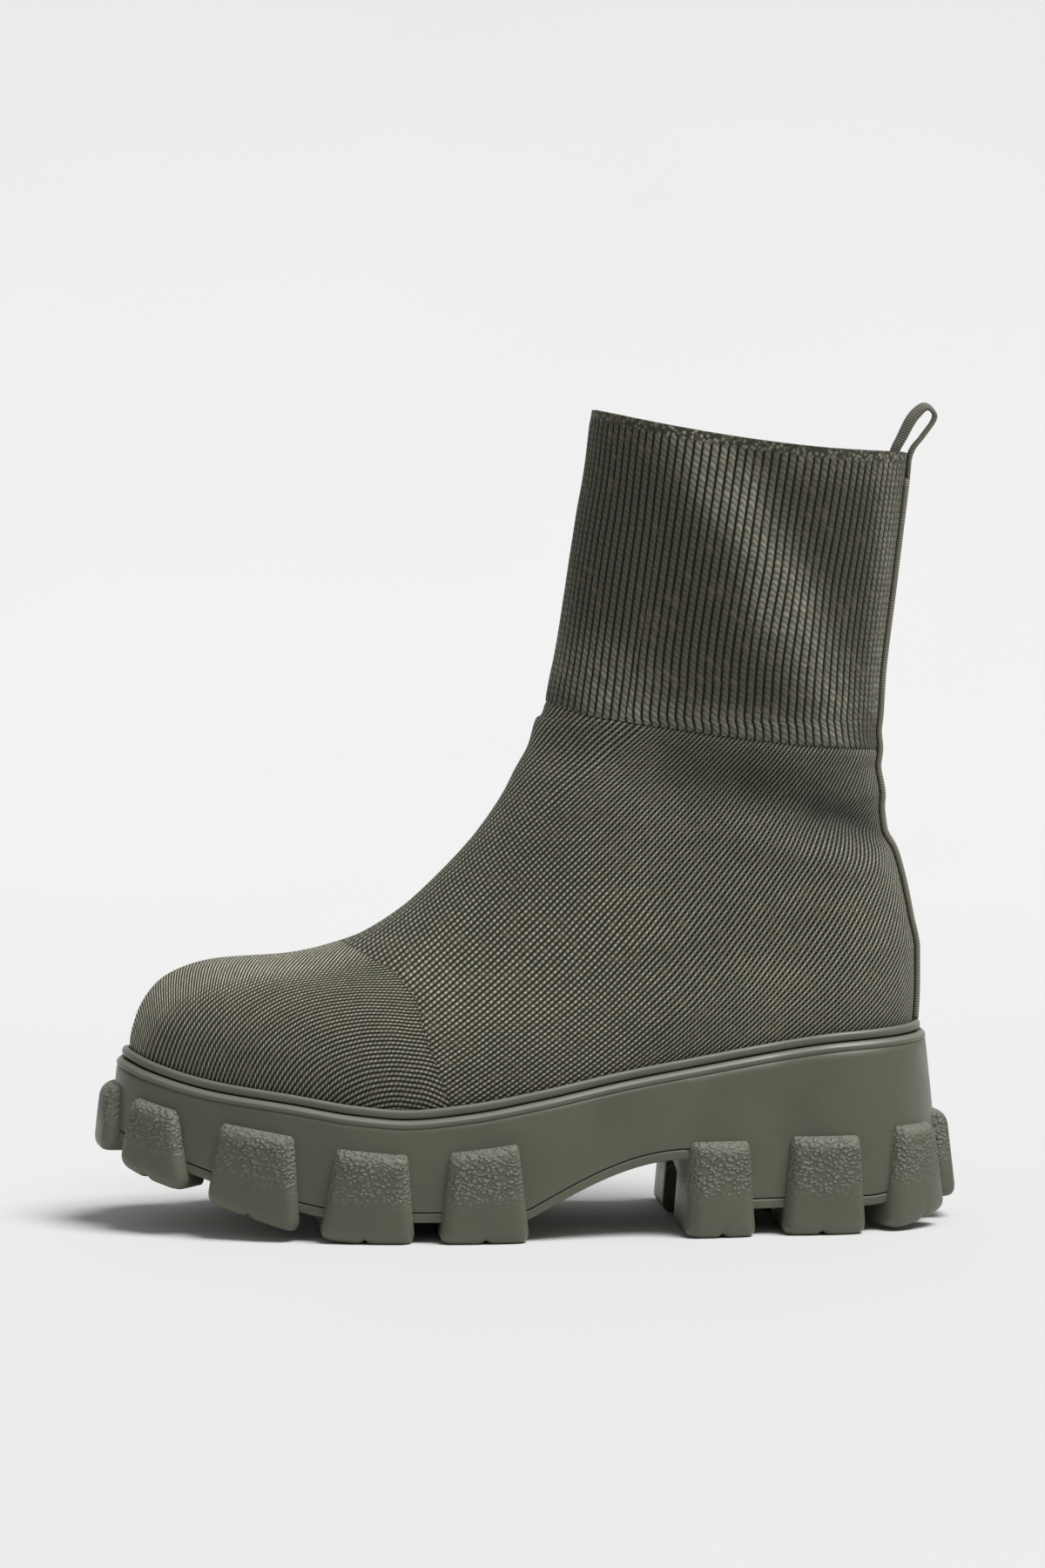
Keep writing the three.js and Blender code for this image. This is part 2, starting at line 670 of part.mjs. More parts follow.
const pieces = [
  { name: 'upper', geometry: makeUpper(), finish: finishes.knit },
  { name: 'back_tape', geometry: makeBackTape(), finish: finishes.webbing },
  { name: 'pull_loop', geometry: makePullLoop(), finish: finishes.webbing },
  { name: 'insole', geometry: makeInsole(), finish: finishes.lining },
  { name: 'rand', geometry: makeRand(), finish: finishes.rubber },
  { name: 'midsole', geometry: makeMidsole(), finish: finishes.rubber },
  { name: 'outsole', geometry: makeOutsole(), finish: finishes.rubber },
];

const boot = new THREE.Group();
for (const { name, geometry, finish } of pieces) {
  const mesh = new THREE.Mesh(geometry, finish);
  mesh.name = name;
  boot.add(mesh);
}

// Origin on the ground, under the middle of the boot
const bounds = new THREE.Box3().setFromObject(boot);
const middle = bounds.getCenter(new THREE.Vector3());
boot.position.set(-middle.x, -middle.y, -bounds.min.z);

export default boot;
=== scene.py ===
import math

import bmesh
import bpy
import numpy as np
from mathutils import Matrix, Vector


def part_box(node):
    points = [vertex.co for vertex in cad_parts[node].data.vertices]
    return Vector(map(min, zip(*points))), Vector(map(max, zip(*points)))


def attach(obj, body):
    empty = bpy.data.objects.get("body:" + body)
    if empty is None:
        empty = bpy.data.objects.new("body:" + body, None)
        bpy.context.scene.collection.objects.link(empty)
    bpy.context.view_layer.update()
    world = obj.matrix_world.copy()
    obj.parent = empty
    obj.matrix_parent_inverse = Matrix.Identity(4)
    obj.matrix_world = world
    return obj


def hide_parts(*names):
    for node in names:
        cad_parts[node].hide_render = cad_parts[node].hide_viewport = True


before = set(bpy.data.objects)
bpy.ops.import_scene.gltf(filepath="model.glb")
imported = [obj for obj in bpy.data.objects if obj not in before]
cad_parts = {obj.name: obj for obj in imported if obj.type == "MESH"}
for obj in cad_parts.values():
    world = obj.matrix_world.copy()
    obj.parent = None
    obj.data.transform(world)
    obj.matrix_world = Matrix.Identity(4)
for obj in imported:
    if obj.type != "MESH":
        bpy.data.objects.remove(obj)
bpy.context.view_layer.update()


# Knit of the foot: the lower part of the one-piece sock upper, from the feather edge under the rand up to the
# rib border above the ankle. A dense two-tone stretch knit, steamed over the last, glued down round its foot.
# Sizes are millimetres on the last: the toe tip at 0, the heel at upper_length, up from the ground.
upper_length = 256
ball_width = 93
shaft_width = 76
toe_swing = 9
swing_station = 0.7
instep_height = 108
ankle_height = 98.5
shaft_height = 99.4
collar_slope = 12.5
collar_dip = 2.7
knit_wall = 2.5
toe_stand = 57.5
ball_stand = 42
heel_stand = 65.5
ball_station = 0.345
clearance = 0.3

course_rows = np.array([
    # front, rear, foot, heel, shaft, width, form, dip
    (0.022, 0.981, -0.134, -0.147, 0, 0.9, 0, 0.97),
    (0, 1.003, 0, 0, 0, 1, 0, 1),
    (0.0085, 1.005, 0.095, 0.122, 0, 1.012, 0, 1),
    (0.041, 1.005, 0.205, 0.233, 0, 0.975, 0, 0.98),
    (0.107, 0.997, 0.264, 0.345, 0, 0.905, 0.15, 0.88),
    (0.2, 0.9895, 0.2815, 0.4416, 0, 0.86, 0.4, 0.62),
    (0.278, 0.979, 0.329, 0.543, 0, 0.825, 0.65, 0.33),
    (0.349, 0.966, 0.426, 0.64, 0, 0.8, 0.85, 0.12),
    (0.418, 0.9555, 0.588, 0.741, 0, 0.775, 1, 0),
    (0.479, 0.956, 0.78, 0.853, 0, 0.745, 1.1, 0),
    (0.5205, 0.9565, 1, 1, 0, 0.755, 1.4, 0),
    (0.539, 0.9595, 1, 1, 0.16, 0.82, 1.7, 0),
    (0.563, 0.974, 1, 1, 0.525, 0.93, 2, 0),
    (0.5895, 0.993, 1, 1, 1, 1, 2, 0),
])
course_columns = {name: index for index, name in enumerate(
    ("front", "rear", "foot", "heel", "shaft", "width", "form", "dip"))}
course_numbers = np.arange(len(course_rows), dtype=float)
rand_level = 1.0
collar_level = 13.0

outline_rows = np.array([
    # station, lateral, medial, ankle, shaft
    (0, 1.12, 1.2, 0.84, 0.98),
    (0.15, 1.08, 1.16, 0.9, 1),
    (0.35, 1.04, 1.03, 0.92, 1),
    (0.5, 0.94, 0.87, 0.95, 1),
    (0.65, 0.84, 0.79, 1.04, 1),
    (0.8, 0.86, 0.86, 1.16, 1),
    (0.9, 1.06, 1.06, 1.2, 1),
    (1, 1.32, 1.32, 1.15, 1.02),
])
rand_drops = np.array([
    # station, drop
    (0, 0), (0.03, 0.18), (0.1, 0.46), (0.2, 0.7), (0.28, 0.91), (0.345, 1), (0.42, 0.93), (0.5, 0.77),
    (0.6, 0.53), (0.7, 0.33), (0.8, 0.15), (0.9, 0.02), (1, 0),
])


def smooth_read(keys, values, place):
    """Curve through the rows of a table that never overshoots a peak."""
    steps = np.diff(keys)
    slopes = np.diff(values) / steps
    tangents = np.empty(len(keys))
    tangents[0], tangents[-1] = slopes[0], slopes[-1]
    before, after = slopes[:-1], slopes[1:]
    rising = before * after > 0
    total = np.where(rising, before + after, 1)
    tangents[1:-1] = np.where(rising, 2 * before * after / total, 0)
    place = np.clip(place, keys[0], keys[-1])
    index = np.clip(np.searchsorted(keys, place, side="left") - 1, 0, len(keys) - 2)
    span = steps[index]
    t = (place - keys[index]) / span
    rise = t * t * (3 - 2 * t)
    return (values[index] + (values[index + 1] - values[index]) * rise
            + tangents[index] * span * t * (1 - t) ** 2 - tangents[index + 1] * span * t * t * (1 - t))


def mix(start, end, share):
    return start + (end - start) * share


def knit_point(level, angle):
    """Outside of the knit. The angle runs from the toe (0) by the outer side to the heel (pi)."""
    level, angle = np.broadcast_arrays(np.asarray(level, float), np.asarray(angle, float))

    def read(name):
        return smooth_read(course_numbers, course_rows[:, course_columns[name]], level)

    form = read("form")
    shaft = read("shaft")
    station = (1 - np.cos(angle)) / 2
    side = np.sin(angle)
    stations = outline_rows[:, 0]
    lateral, medial, ankle, leg = (smooth_read(stations, outline_rows[:, column], station)
                                   for column in (1, 2, 3, 4))
    foot_full = np.where(side > 0, lateral, medial)
    full = np.where(form < 1, mix(foot_full, ankle, form), mix(ankle, leg, form - 1))
    half_width = read("width") * mix(ball_width, shaft_width, np.clip(form - 1, 0, 1)) / 2
    ball_drop = mix(toe_stand, heel_stand, ball_station) - ball_stand
    drop = smooth_read(rand_drops[:, 0], rand_drops[:, 1], station) * ball_drop * read("dip")
    swing = toe_swing * np.clip(1 - form, 0, 1) * np.maximum(0, 1 - station / swing_station) ** 2
    front_z = toe_stand + read("foot") * instep_height + shaft * shaft_height
    rear_z = heel_stand + read("heel") * ankle_height + shaft * (shaft_height - collar_slope)
    x = mix(read("front"), read("rear"), station) * upper_length
    y = swing - side * full * half_width
    z = mix(front_z, rear_z, station) - drop - collar_dip * shaft ** 2 * side ** 2
    return np.stack([x, y, z], axis=-1)


def outward_of(level, angle):
    level_step = np.where(np.asarray(level, float) > collar_level / 2, -0.02, 0.02)
    point = knit_point(level, angle)
    up = (knit_point(level + level_step, angle) - point) * np.sign(level_step)[..., None]
    round_way = knit_point(level, angle + 0.01) - knit_point(level, angle - 0.01)
    normal = np.cross(round_way, up)
    return normal / np.linalg.norm(normal, axis=-1, keepdims=True)


def knit_offset(level, angle, distance):
    level, angle = np.broadcast_arrays(np.asarray(level, float), np.asarray(angle, float))
    distance = np.broadcast_to(np.asarray(distance, float), level.shape)
    return knit_point(level, angle) + outward_of(level, angle) * distance[..., None]


# The last's zero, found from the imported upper's own box
sampled = knit_point(np.arange(0, collar_level + 0.5, 0.5)[:, None], np.arange(44) * math.pi / 22)
last_zero = np.array(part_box("upper")[0]) * 1000 - sampled.reshape(-1, 3).min(axis=0)
last_zero[2] = 0


def in_scene(name, data):
    thing = bpy.data.objects.new(name, data)
    bpy.context.scene.collection.objects.link(thing)
    return thing


def object_from(name, points, faces):
    mesh = bpy.data.meshes.new(name)
    mesh.from_pydata(((points + last_zero) / 1000).tolist(), [], faces)
    mesh.update()
    mesh.polygons.foreach_set("use_smooth", [True] * len(mesh.polygons))
    return in_scene(name, mesh)


def band_faces(rows, columns, first=0, close_round=True, close_along=False):
    """Faces of a grid of points, closed round each row and, if asked, from the last row to the first."""
    row = np.arange(rows if close_along else rows - 1)[:, None]
    column = np.arange(columns if close_round else columns - 1)
    next_row = (row + 1) % rows
    next_column = (column + 1) % columns
    corners = np.stack([row * columns + column, row * columns + next_column,
                        next_row * columns + next_column, next_row * columns + column], axis=-1)
    return (corners.reshape(-1, 4) + first).tolist()


def turn_outward(piece):
    """Turns the faces over where the mesh encloses a negative volume."""
    mesh = piece.data
    mesh.calc_loop_triangles()
    corner = np.empty(len(mesh.loop_triangles) * 3, np.int32)
    mesh.loop_triangles.foreach_get("vertices", corner)
    place = np.empty(len(mesh.vertices) * 3)
    mesh.vertices.foreach_get("co", place)
    a, b, c = place.reshape(-1, 3)[corner.reshape(-1, 3)].transpose(1, 0, 2)
    if (a * np.cross(b, c)).sum() < 0:
        mesh.flip_normals()


def add_map(piece, name, places, whole_round=0):
    """UV map with one place for each vertex. Its first value may start again after a whole round."""
    layer = piece.data.uv_layers.new(name=name)
    vertex_of = np.empty(len(piece.data.loops), np.int32)
    piece.data.loops.foreach_get("vertex_index", vertex_of)
    corners = places.reshape(-1, 2)[vertex_of]
    if whole_round:
        across = corners.reshape(-1, 4, 2)[..., 0]
        wraps = np.ptp(across, axis=1, keepdims=True) > whole_round / 2
        across += np.where(wraps & (across < whole_round / 2), whole_round, 0)
    layer.data.foreach_set("uv", corners.astype(np.float32).ravel())


def add_amount(piece, name, amounts, rest=0.0):
    """Amount for each vertex, in their order, and the rest for all vertices after them."""
    every = np.full(len(piece.data.vertices), rest, np.float32)
    every[:amounts.size] = amounts.ravel()
    piece.data.attributes.new(name, "FLOAT", "POINT").data.foreach_set("value", every)


def run_along(points):
    """Length of the path through the points, up to each of them."""
    return np.cumsum(np.linalg.norm(np.diff(points, axis=0, prepend=points[:1]), axis=-1), axis=0)


# Border of the ribs: station and drop from the front of the ankle to the back
border_drops = np.array([(0, 0), (0.12, 3.8), (0.28, 6.2), (0.42, 8.2), (0.5, 9.6), (0.77, 13.2), (1, 15.6)])
border_front_z = 170.5
border_levels = (8.5, 11.5)


def border_level(angle):
    """Level of the rib border at an angle, closed in on from the two levels it lies between."""
    station = (1 - np.cos(angle)) / 2
    wanted = border_front_z - np.interp(station, border_drops[:, 0], border_drops[:, 1])
    low, high = (np.full_like(station, level) for level in border_levels)
    for _ in range(18):
        middle = (low + high) / 2
        below = knit_point(middle, angle)[..., 2] < wanted
        low = np.where(below, middle, low)
        high = np.where(below, high, middle)
    return (low + high) / 2


# Creases, on the outer side in millimetres of the last. The inner side has the same ones, slightly weaker.
creases = [
    # name, x1, z1, x2, z2, half width, height
    ("hollow above the heel", 198, 143, 236, 132, 8.5, -3.0),
    ("its sharp end at the tape", 232, 134, 246, 127, 4, -1.2),
    ("ridge under the hollow", 200, 126, 240, 116, 6.5, 1.6),
    ("bulge behind the heel", 245, 138, 250, 136, 6, 1.9),
    ("notch under the rib border", 240, 149, 248, 149, 3.6, -0.7),
    ("kink at the rib border", 240, 160, 248, 160, 3.2, -0.5),
    ("back fold at the rib border", 226, 156, 238, 153, 5, 1.0),
    ("long ridge down the shaft", 178, 256, 204, 214, 11, 1.3),
    ("its lower end", 204, 214, 224, 176, 10, 1.1),
    ("trough before the ridge", 156, 250, 176, 196, 12, -1.1),
    ("trough behind the ridge", 212, 246, 222, 212, 9, -0.9),
    ("ridge at the front of the shaft", 148, 232, 150, 186, 8, 0.4),
    ("trough across the lower shaft", 172, 196, 196, 172, 10, -0.8),
    ("kink at the front of the rib border", 130, 156, 139, 154, 7, -1.6),
    ("front break over the instep", 138, 160, 158, 150, 6, -0.7),
    ("swell under the front break", 130, 144, 160, 136, 8, 0.3),
    ("ripple over the instep", 108, 126, 150, 118, 8, -0.35),
    ("second ripple", 96, 108, 138, 98, 8, 0.3),
    ("toe border hollow", 76, 90, 96, 62, 6, -0.35),
]


def painted(strokes, points):
    """Sum of soft strokes placed on the side of the boot, at points of the knit."""
    total = np.zeros(points.shape[:-1])
    for _, x1, z1, x2, z2, half_width, amount in strokes:
        along = np.array([x2 - x1, z2 - z1])
        gap_x, gap_z = points[..., 0] - x1, points[..., 2] - z1
        share = np.clip((gap_x * along[0] + gap_z * along[1]) / (along @ along), 0, 1)
        away = np.hypot(gap_x - share * along[0], gap_z - share * along[1])
        total += amount * np.exp(-(away / half_width) ** 2)
    return total


def crease_height(level, angle):
    return painted(creases, knit_point(level, angle)) * (0.875 + 0.125 * np.sin(angle))


foot_columns = 384
foot_rows = 190
inside_rows = 26
foot_start = 0.35
tuck = 0.16
tuck_depth = 0.7
foot_angles = np.arange(foot_columns) * 2 * math.pi / foot_columns
border = border_level(foot_angles)
foot_levels = mix(foot_start, border + tuck, np.linspace(0, 1, foot_rows)[:, None])
foot_outside = knit_offset(foot_levels, foot_angles, crease_height(foot_levels, foot_angles))
tucked = np.clip((foot_levels - border) / tuck + 0.6, 0, 1)
foot_outside -= outward_of(foot_levels, foot_angles) * (tucked * tuck_depth)[..., None]
inside_levels = mix(border + tuck, 0.0, np.linspace(0, 1, inside_rows)[:, None])
foot_inside = knit_offset(inside_levels, foot_angles, crease_height(inside_levels, foot_angles) - knit_wall)
foot_points = np.concatenate([foot_outside, foot_inside]).reshape(-1, 3)
foot_knit = object_from("foot_knit", foot_points,
                        band_faces(foot_rows + inside_rows, foot_columns, close_along=True))
turn_outward(foot_knit)

# Flat pattern of each side: the rings unrolled from the middle of the side, so stitches keep their size
ring_steps = np.linalg.norm(np.diff(foot_outside[..., :2], axis=1, append=foot_outside[:, :1, :2]), axis=-1)
quarter = foot_columns // 4
on_outer = np.arange(foot_columns) <= 2 * quarter
from_toe = np.concatenate([np.zeros((foot_rows, 1)), np.cumsum(ring_steps, axis=1)[:, :-1]], axis=1)
to_toe = np.where(on_outer, from_toe, ring_steps.sum(axis=1, keepdims=True) - from_toe)
middle_distance = np.where(on_outer, to_toe[:, quarter:quarter + 1], to_toe[:, -quarter:1 - quarter])
knit_x, knit_y, knit_z = foot_outside.transpose(2, 0, 1)
flat_x = knit_x[:, quarter:quarter + 1] + to_toe - middle_distance

# Stitch rows of the instep: they lean to the heel, flatter near the rand and in front, steeper over the arch
row_pitch = 1.65
stitch_pitch = 1.6
rand_end, even_end = 52, 104
front_slopes = (29, 40)
rear_slopes = (37, 57)
front_row, rear_row = 95, 205
height_step = 0.5
slope_heights = np.arange(30.0, 190.0, height_step)


def slant_table(low, high):
    """Sideways run and length of a stitch row, up or down to each height from where its slope gets even."""
    share = np.clip((slope_heights - rand_end) / (even_end - rand_end), 0, 1)
    slope = np.radians(mix(low, high, share * share * (3 - 2 * share)))
    zero = np.argmin(np.abs(slope_heights - even_end))
    sums = [np.cumsum(height_step / shape(slope)) for shape in (np.tan, np.sin)]
    return [np.interp(knit_z, slope_heights, total - total[zero]) for total in sums]


front_run, front_length = slant_table(*front_slopes)
rear_run, rear_length = slant_table(*rear_slopes)
row = flat_x - front_run
for _ in range(12):
    turn = np.clip((row - front_row) / (rear_row - front_row), 0, 1)
    row = flat_x - mix(front_run, rear_run, turn)
row_places = np.arange(-300.0, 500.0)
row_slopes = np.radians(np.interp(row_places, (front_row, rear_row), (front_slopes[1], rear_slopes[1])))
across_rows = np.interp(row, row_places, np.cumsum(np.sin(row_slopes)))
along_rows = np.interp(row, row_places, np.cumsum(np.cos(row_slopes))) + mix(front_length, rear_length, turn)

# Stitch rows of the toe: arcs round a point at the foot of its border, the outermost along the crown
toe_row_pitch = 1.42
arc_centre = 86
arc_drop = 26
arc_length, arc_girth = 86, 102


def girth(beside, below):
    """Way round the knit to a point beside and below its crown, a little short of the square way."""
    return (beside ** 1.25 + below ** 1.25) ** 0.8


front_line = knit_point(np.arange(1, 9.01, 0.1), 0.0)
crown_z = np.interp(knit_x, front_line[:, 0], front_line[:, 2])
crown_y = toe_swing * np.maximum(0, 1 - knit_x / upper_length / swing_station) ** 2
from_crown = girth(np.abs(knit_y - crown_y), np.maximum(crown_z - knit_z, 0))
rand_line = knit_point(rand_level, np.linspace(0, math.pi, 41))
rand_z = np.interp(knit_x, rand_line[:, 0], rand_line[:, 2])
rand_y = np.interp(knit_x, rand_line[:, 0], crown_y[0, 0] - rand_line[:, 1])
whole_girth = girth(np.maximum(rand_y, 1), np.maximum(crown_z - rand_z, 0))
arc_x = (arc_centre - knit_x) / arc_length
arc_up = (whole_girth - from_crown + arc_drop) / arc_girth
arc_radius = np.hypot(arc_x, arc_up)
arc_turn = np.arctan2(arc_x, np.maximum(arc_up, 0.02))
toe_rows = arc_radius * arc_girth / toe_row_pitch
toe_stitches = arc_radius * arc_turn * (arc_length + arc_girth) / 2 / stitch_pitch + toe_rows / 2
inside_map = np.broadcast_arrays(foot_angles * 20, np.linspace(0, 60, inside_rows)[:, None])
for name, outside_map in (("slanted_stitches", (across_rows / row_pitch, along_rows / stitch_pitch)),
                          ("toe_stitches", (toe_rows, toe_stitches))):
    add_map(foot_knit, name, np.concatenate([np.stack(outside_map, axis=-1), np.stack(inside_map, axis=-1)]))

# Borders between the ways of knitting, as height and place along the boot
toe_border = np.array([(30, 104), (43.2, 101.4), (54.9, 97), (66.4, 92.9), (76.7, 91), (85.2, 84.1), (90, 74.2),
                       (92.9, 67.8), (94, 62), (110, 50)])
heel_border = np.array([(50, 170.5), (62, 168.7), (74.8, 166.7), (88.9, 163.1), (103, 163), (120, 150), (180, 120)])
beyond = 50
add_amount(foot_knit, "past_toe", knit_x - np.interp(knit_z, toe_border[:, 0], toe_border[:, 1]), beyond)
add_amount(foot_knit, "past_heel", knit_x - np.interp(knit_z, heel_border[:, 0], heel_border[:, 1]), beyond)
add_amount(foot_knit, "from_crown", from_crown, beyond)


# Painted light and shade on the knit: darker where shade falls in the hollow above the heel, under the rib border and
# along the rand, lighter where the heel, the instep and the arch face the light
painted_light_and_shade_areas = [
    # name, x1, z1, x2, z2, half width, amount
    ("hollow above the heel", 178, 150, 238, 133, 11, -0.42),
    ("deep end of the hollow", 222, 137, 244, 127, 5, -0.3),
    ("under the rib border", 140, 164, 236, 150, 7, -0.2),
    ("heel over the ridge", 200, 116, 236, 106, 11, 0.2),
    ("knee of the instep", 120, 132, 150, 146, 10, 0.1),
    ("outer side of the arch", 140, 88, 190, 96, 16, 0.08),
    ("along the rand at the toe", 4, 60, 90, 40, 7, -0.22),
    ("along the rand to the heel", 90, 40, 250, 66, 4, -0.15),
]
add_amount(foot_knit, "painted_light_and_shade", 1 + painted(painted_light_and_shade_areas, foot_outside), 1)
add_amount(foot_knit, "lining", np.zeros(foot_levels.shape), 1)


class Nodes:
    """Short way to lay out a material's nodes."""

    def __init__(self, name):
        self.material = bpy.data.materials.new(name)
        self.material.use_nodes = True
        self.tree = self.material.node_tree
        self.shader = self.tree.nodes["Principled BSDF"]

    def add(self, kind, **settings):
        node = self.tree.nodes.new(kind)
        for key, value in settings.items():
            setattr(node, key, value)
        return node

    def put(self, socket, value):
        if isinstance(value, bpy.types.NodeSocket):
            self.tree.links.new(value, socket)
        else:
            socket.default_value = value

    def math(self, operation, *values):
        node = self.add("ShaderNodeMath", operation=operation)
        for socket, value in zip(node.inputs, values):
            self.put(socket, value)
        return node.outputs[0]

    def times(self, first, second):
        return self.math("MULTIPLY", first, second)

    def scaled(self, value, factor, more):
        return self.math("MULTIPLY_ADD", value, factor, more)

    def wave(self, value):
        """0 to 1 and back once for every whole step of the value."""
        return self.scaled(self.math("COSINE", self.times(value, 2 * math.pi)), 0.5, 0.5)

    def vector(self, operation, *values):
        node = self.add("ShaderNodeVectorMath", operation=operation)
        for socket, value in zip(node.inputs, values):
            self.put(socket, value)
        return node.outputs[0]

    def parts(self, vector):
        node = self.add("ShaderNodeSeparateXYZ")
        self.put(node.inputs[0], vector)
        return node.outputs[0], node.outputs[1]

    def ramp(self, value, low, high, start=0.0, end=1.0):
        node = self.add("ShaderNodeMapRange", interpolation_type="SMOOTHSTEP")
        for socket, given in zip(node.inputs, (value, low, high, start, end)):
            self.put(socket, given)
        return node.outputs[0]

    def blend(self, share, first, second, kind="RGBA"):
        node = self.add("ShaderNodeMix", data_type=kind)
        slots = {"RGBA": (6, 7, 2), "VECTOR": (4, 5, 1), "FLOAT": (2, 3, 0)}[kind]
        self.put(node.inputs[0], share)
        self.put(node.inputs[slots[0]], first)
        self.put(node.inputs[slots[1]], second)
        return node.outputs[slots[2]]

    def place(self):
        return self.add("ShaderNodeTexCoord").outputs["Object"]

    def noise(self, scale, detail, distortion=0.0, output="Fac"):
        node = self.add("ShaderNodeTexNoise")
        for name, value in (("Scale", scale), ("Detail", detail), ("Distortion", distortion)):
            self.put(node.inputs[name], value)
        self.put(node.inputs["Vector"], self.place())
        return node.outputs[output]

    def cells(self, place, scale, **settings):
        node = self.add("ShaderNodeTexVoronoi", **settings)
        self.put(node.inputs["Scale"], scale)
        self.put(node.inputs["Vector"], place)
        return node

    def random(self, first, second):
        """One random value for each pair of whole steps."""
        pair = self.add("ShaderNodeCombineXYZ")
        self.put(pair.inputs[0], self.math("ROUND", first))
        self.put(pair.inputs[1], self.math("ROUND", second))
        node = self.add("ShaderNodeTexWhiteNoise", noise_dimensions="2D")
        self.put(node.inputs["Vector"], pair.outputs[0])
        return node.outputs["Value"]

    def amount(self, name):
        return self.add("ShaderNodeAttribute", attribute_name=name).outputs["Fac"]

    def map(self, name):
        return self.add("ShaderNodeUVMap", uv_map=name).outputs["UV"]

    def look(self, name, value):
        self.put(self.shader.inputs[name], value)

    def bump(self, height, distance, strength):
        node = self.add("ShaderNodeBump")
        for name, value in (("Height", height), ("Distance", distance), ("Strength", strength)):
            self.put(node.inputs[name], value)
        self.look("Normal", node.outputs["Normal"])

    def finish(self, piece):
        piece.data.materials.clear()
        piece.data.materials.append(self.material)


def yarn_finish(yarn, base, brightness, stitch, roughness, sheen):
    """Colour, dimmed to its brightness, and the dull look of yarn with a slight sheen."""
    shade = yarn.add("ShaderNodeVectorMath", operation="SCALE")
    yarn.put(shade.inputs[0], base)
    yarn.put(shade.inputs["Scale"], brightness)
    yarn.look("Base Color", shade.outputs[0])
    yarn.look("Roughness", yarn.ramp(stitch, 0.1, 0.9, *roughness))
    yarn.look("Sheen Weight", sheen)
    yarn.look("Sheen Roughness", 0.5)
    yarn.look("Specular IOR Level", 0.3)


yarn_dark = (0.014, 0.014, 0.008, 1)
yarn_ground = (0.100, 0.099, 0.067, 1)
yarn_light = (0.530, 0.518, 0.405, 1)
yarn_brown = (0.150, 0.118, 0.082, 1)

knit = Nodes("knit_stitches")
in_toe = knit.math("LESS_THAN", knit.amount("past_toe"), 0.0)
across, along = knit.parts(knit.blend(in_toe, knit.map("slanted_stitches"), knit.map("toe_stitches"), "VECTOR"))
drift = knit.scaled(knit.noise(60.0, 1.0), 0.4, -0.2)
row_place = knit.math("ADD", across, drift)
stitch_place = knit.math("ADD", along, drift)
row_wave = knit.wave(row_place)
stitch_wave = knit.wave(stitch_place)
dots = knit.times(knit.math("POWER", row_wave, 0.8), knit.scaled(stitch_wave, 0.5, 0.52))
holes = knit.times(knit.math("SUBTRACT", 1.0, row_wave), stitch_wave)
net = knit.scaled(holes, -0.8, knit.scaled(dots, 0.72, 0.26))
stitch = knit.blend(knit.ramp(knit.amount("past_heel"), -26.0, 24.0), dots, net, "FLOAT")
on_crown = knit.times(knit.ramp(knit.amount("from_crown"), 34.0, 18.0), in_toe)
ribs = knit.times(stitch_wave, knit.scaled(row_wave, 0.25, 0.75))
stitch = knit.blend(on_crown, stitch, ribs, "FLOAT")
fleck = knit.random(row_place, stitch_place)
base = knit.blend(knit.ramp(stitch, 0.05, 0.5), yarn_dark, yarn_ground)
light_share = knit.times(knit.ramp(stitch, 0.42, 0.92), knit.scaled(fleck, 0.45, 0.55))
base = knit.blend(light_share, base, yarn_light)
base = knit.blend(knit.times(knit.math("GREATER_THAN", fleck, 0.94), 0.4), base, yarn_brown)
# Painted highlight: the toe's crown made up to half again as bright, as if lit from above, times the knit's painted
# light and shade
brightness = knit.times(knit.scaled(on_crown, 0.5, 1.0), knit.amount("painted_light_and_shade"))
brightness = knit.times(brightness, knit.ramp(knit.noise(22.0, 3.0), 0.35, 0.68, 0.9, 1.1))
seam = knit.ramp(knit.math("ABSOLUTE", knit.amount("past_toe")), 0.3, 1.6, 0.78, 1.0)
brightness = knit.times(knit.times(brightness, seam), knit.scaled(knit.amount("lining"), -0.55, 1.0))
yarn_finish(knit, base, brightness, stitch, (0.9, 0.62), 0.06)
knit.bump(knit.scaled(knit.noise(2600.0, 2.0), 0.18, stitch), 0.0006, 0.8)
knit.finish(foot_knit)
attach(foot_knit, "root")
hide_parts("upper")


# Ribbed shaft: the upper part of the same sock, knitted in ribs 2.8 mm apart that stretch over the leg. The ribs
# are raised in the mesh, each a column of slanted light stitches with a dark groove beside it, and the wall turns
# over at the collar into a bound hem.
rib_count = 101
steps_per_rib = 8
shaft_columns = rib_count * steps_per_rib
rib_depth = 0.7
shaft_rows = 84
hem_height = 3.0
hem_rise = 0.4
shaft_inside_rows = 14
share_up = np.linspace(0, 1, shaft_rows)[:, None]

# Angles that part each ring into equal lengths, so the ribs keep their distance
fine_angles = np.linspace(0, 2 * math.pi, 721)
fine_border = border_level(fine_angles)
shaft_angles = np.empty((shaft_rows, shaft_columns))
for ring, share in enumerate(share_up[:, 0]):
    run = run_along(knit_point(mix(fine_border, collar_level, share), fine_angles))
    shaft_angles[ring] = np.interp(np.arange(shaft_columns) / shaft_columns * run[-1], run, fine_angles)

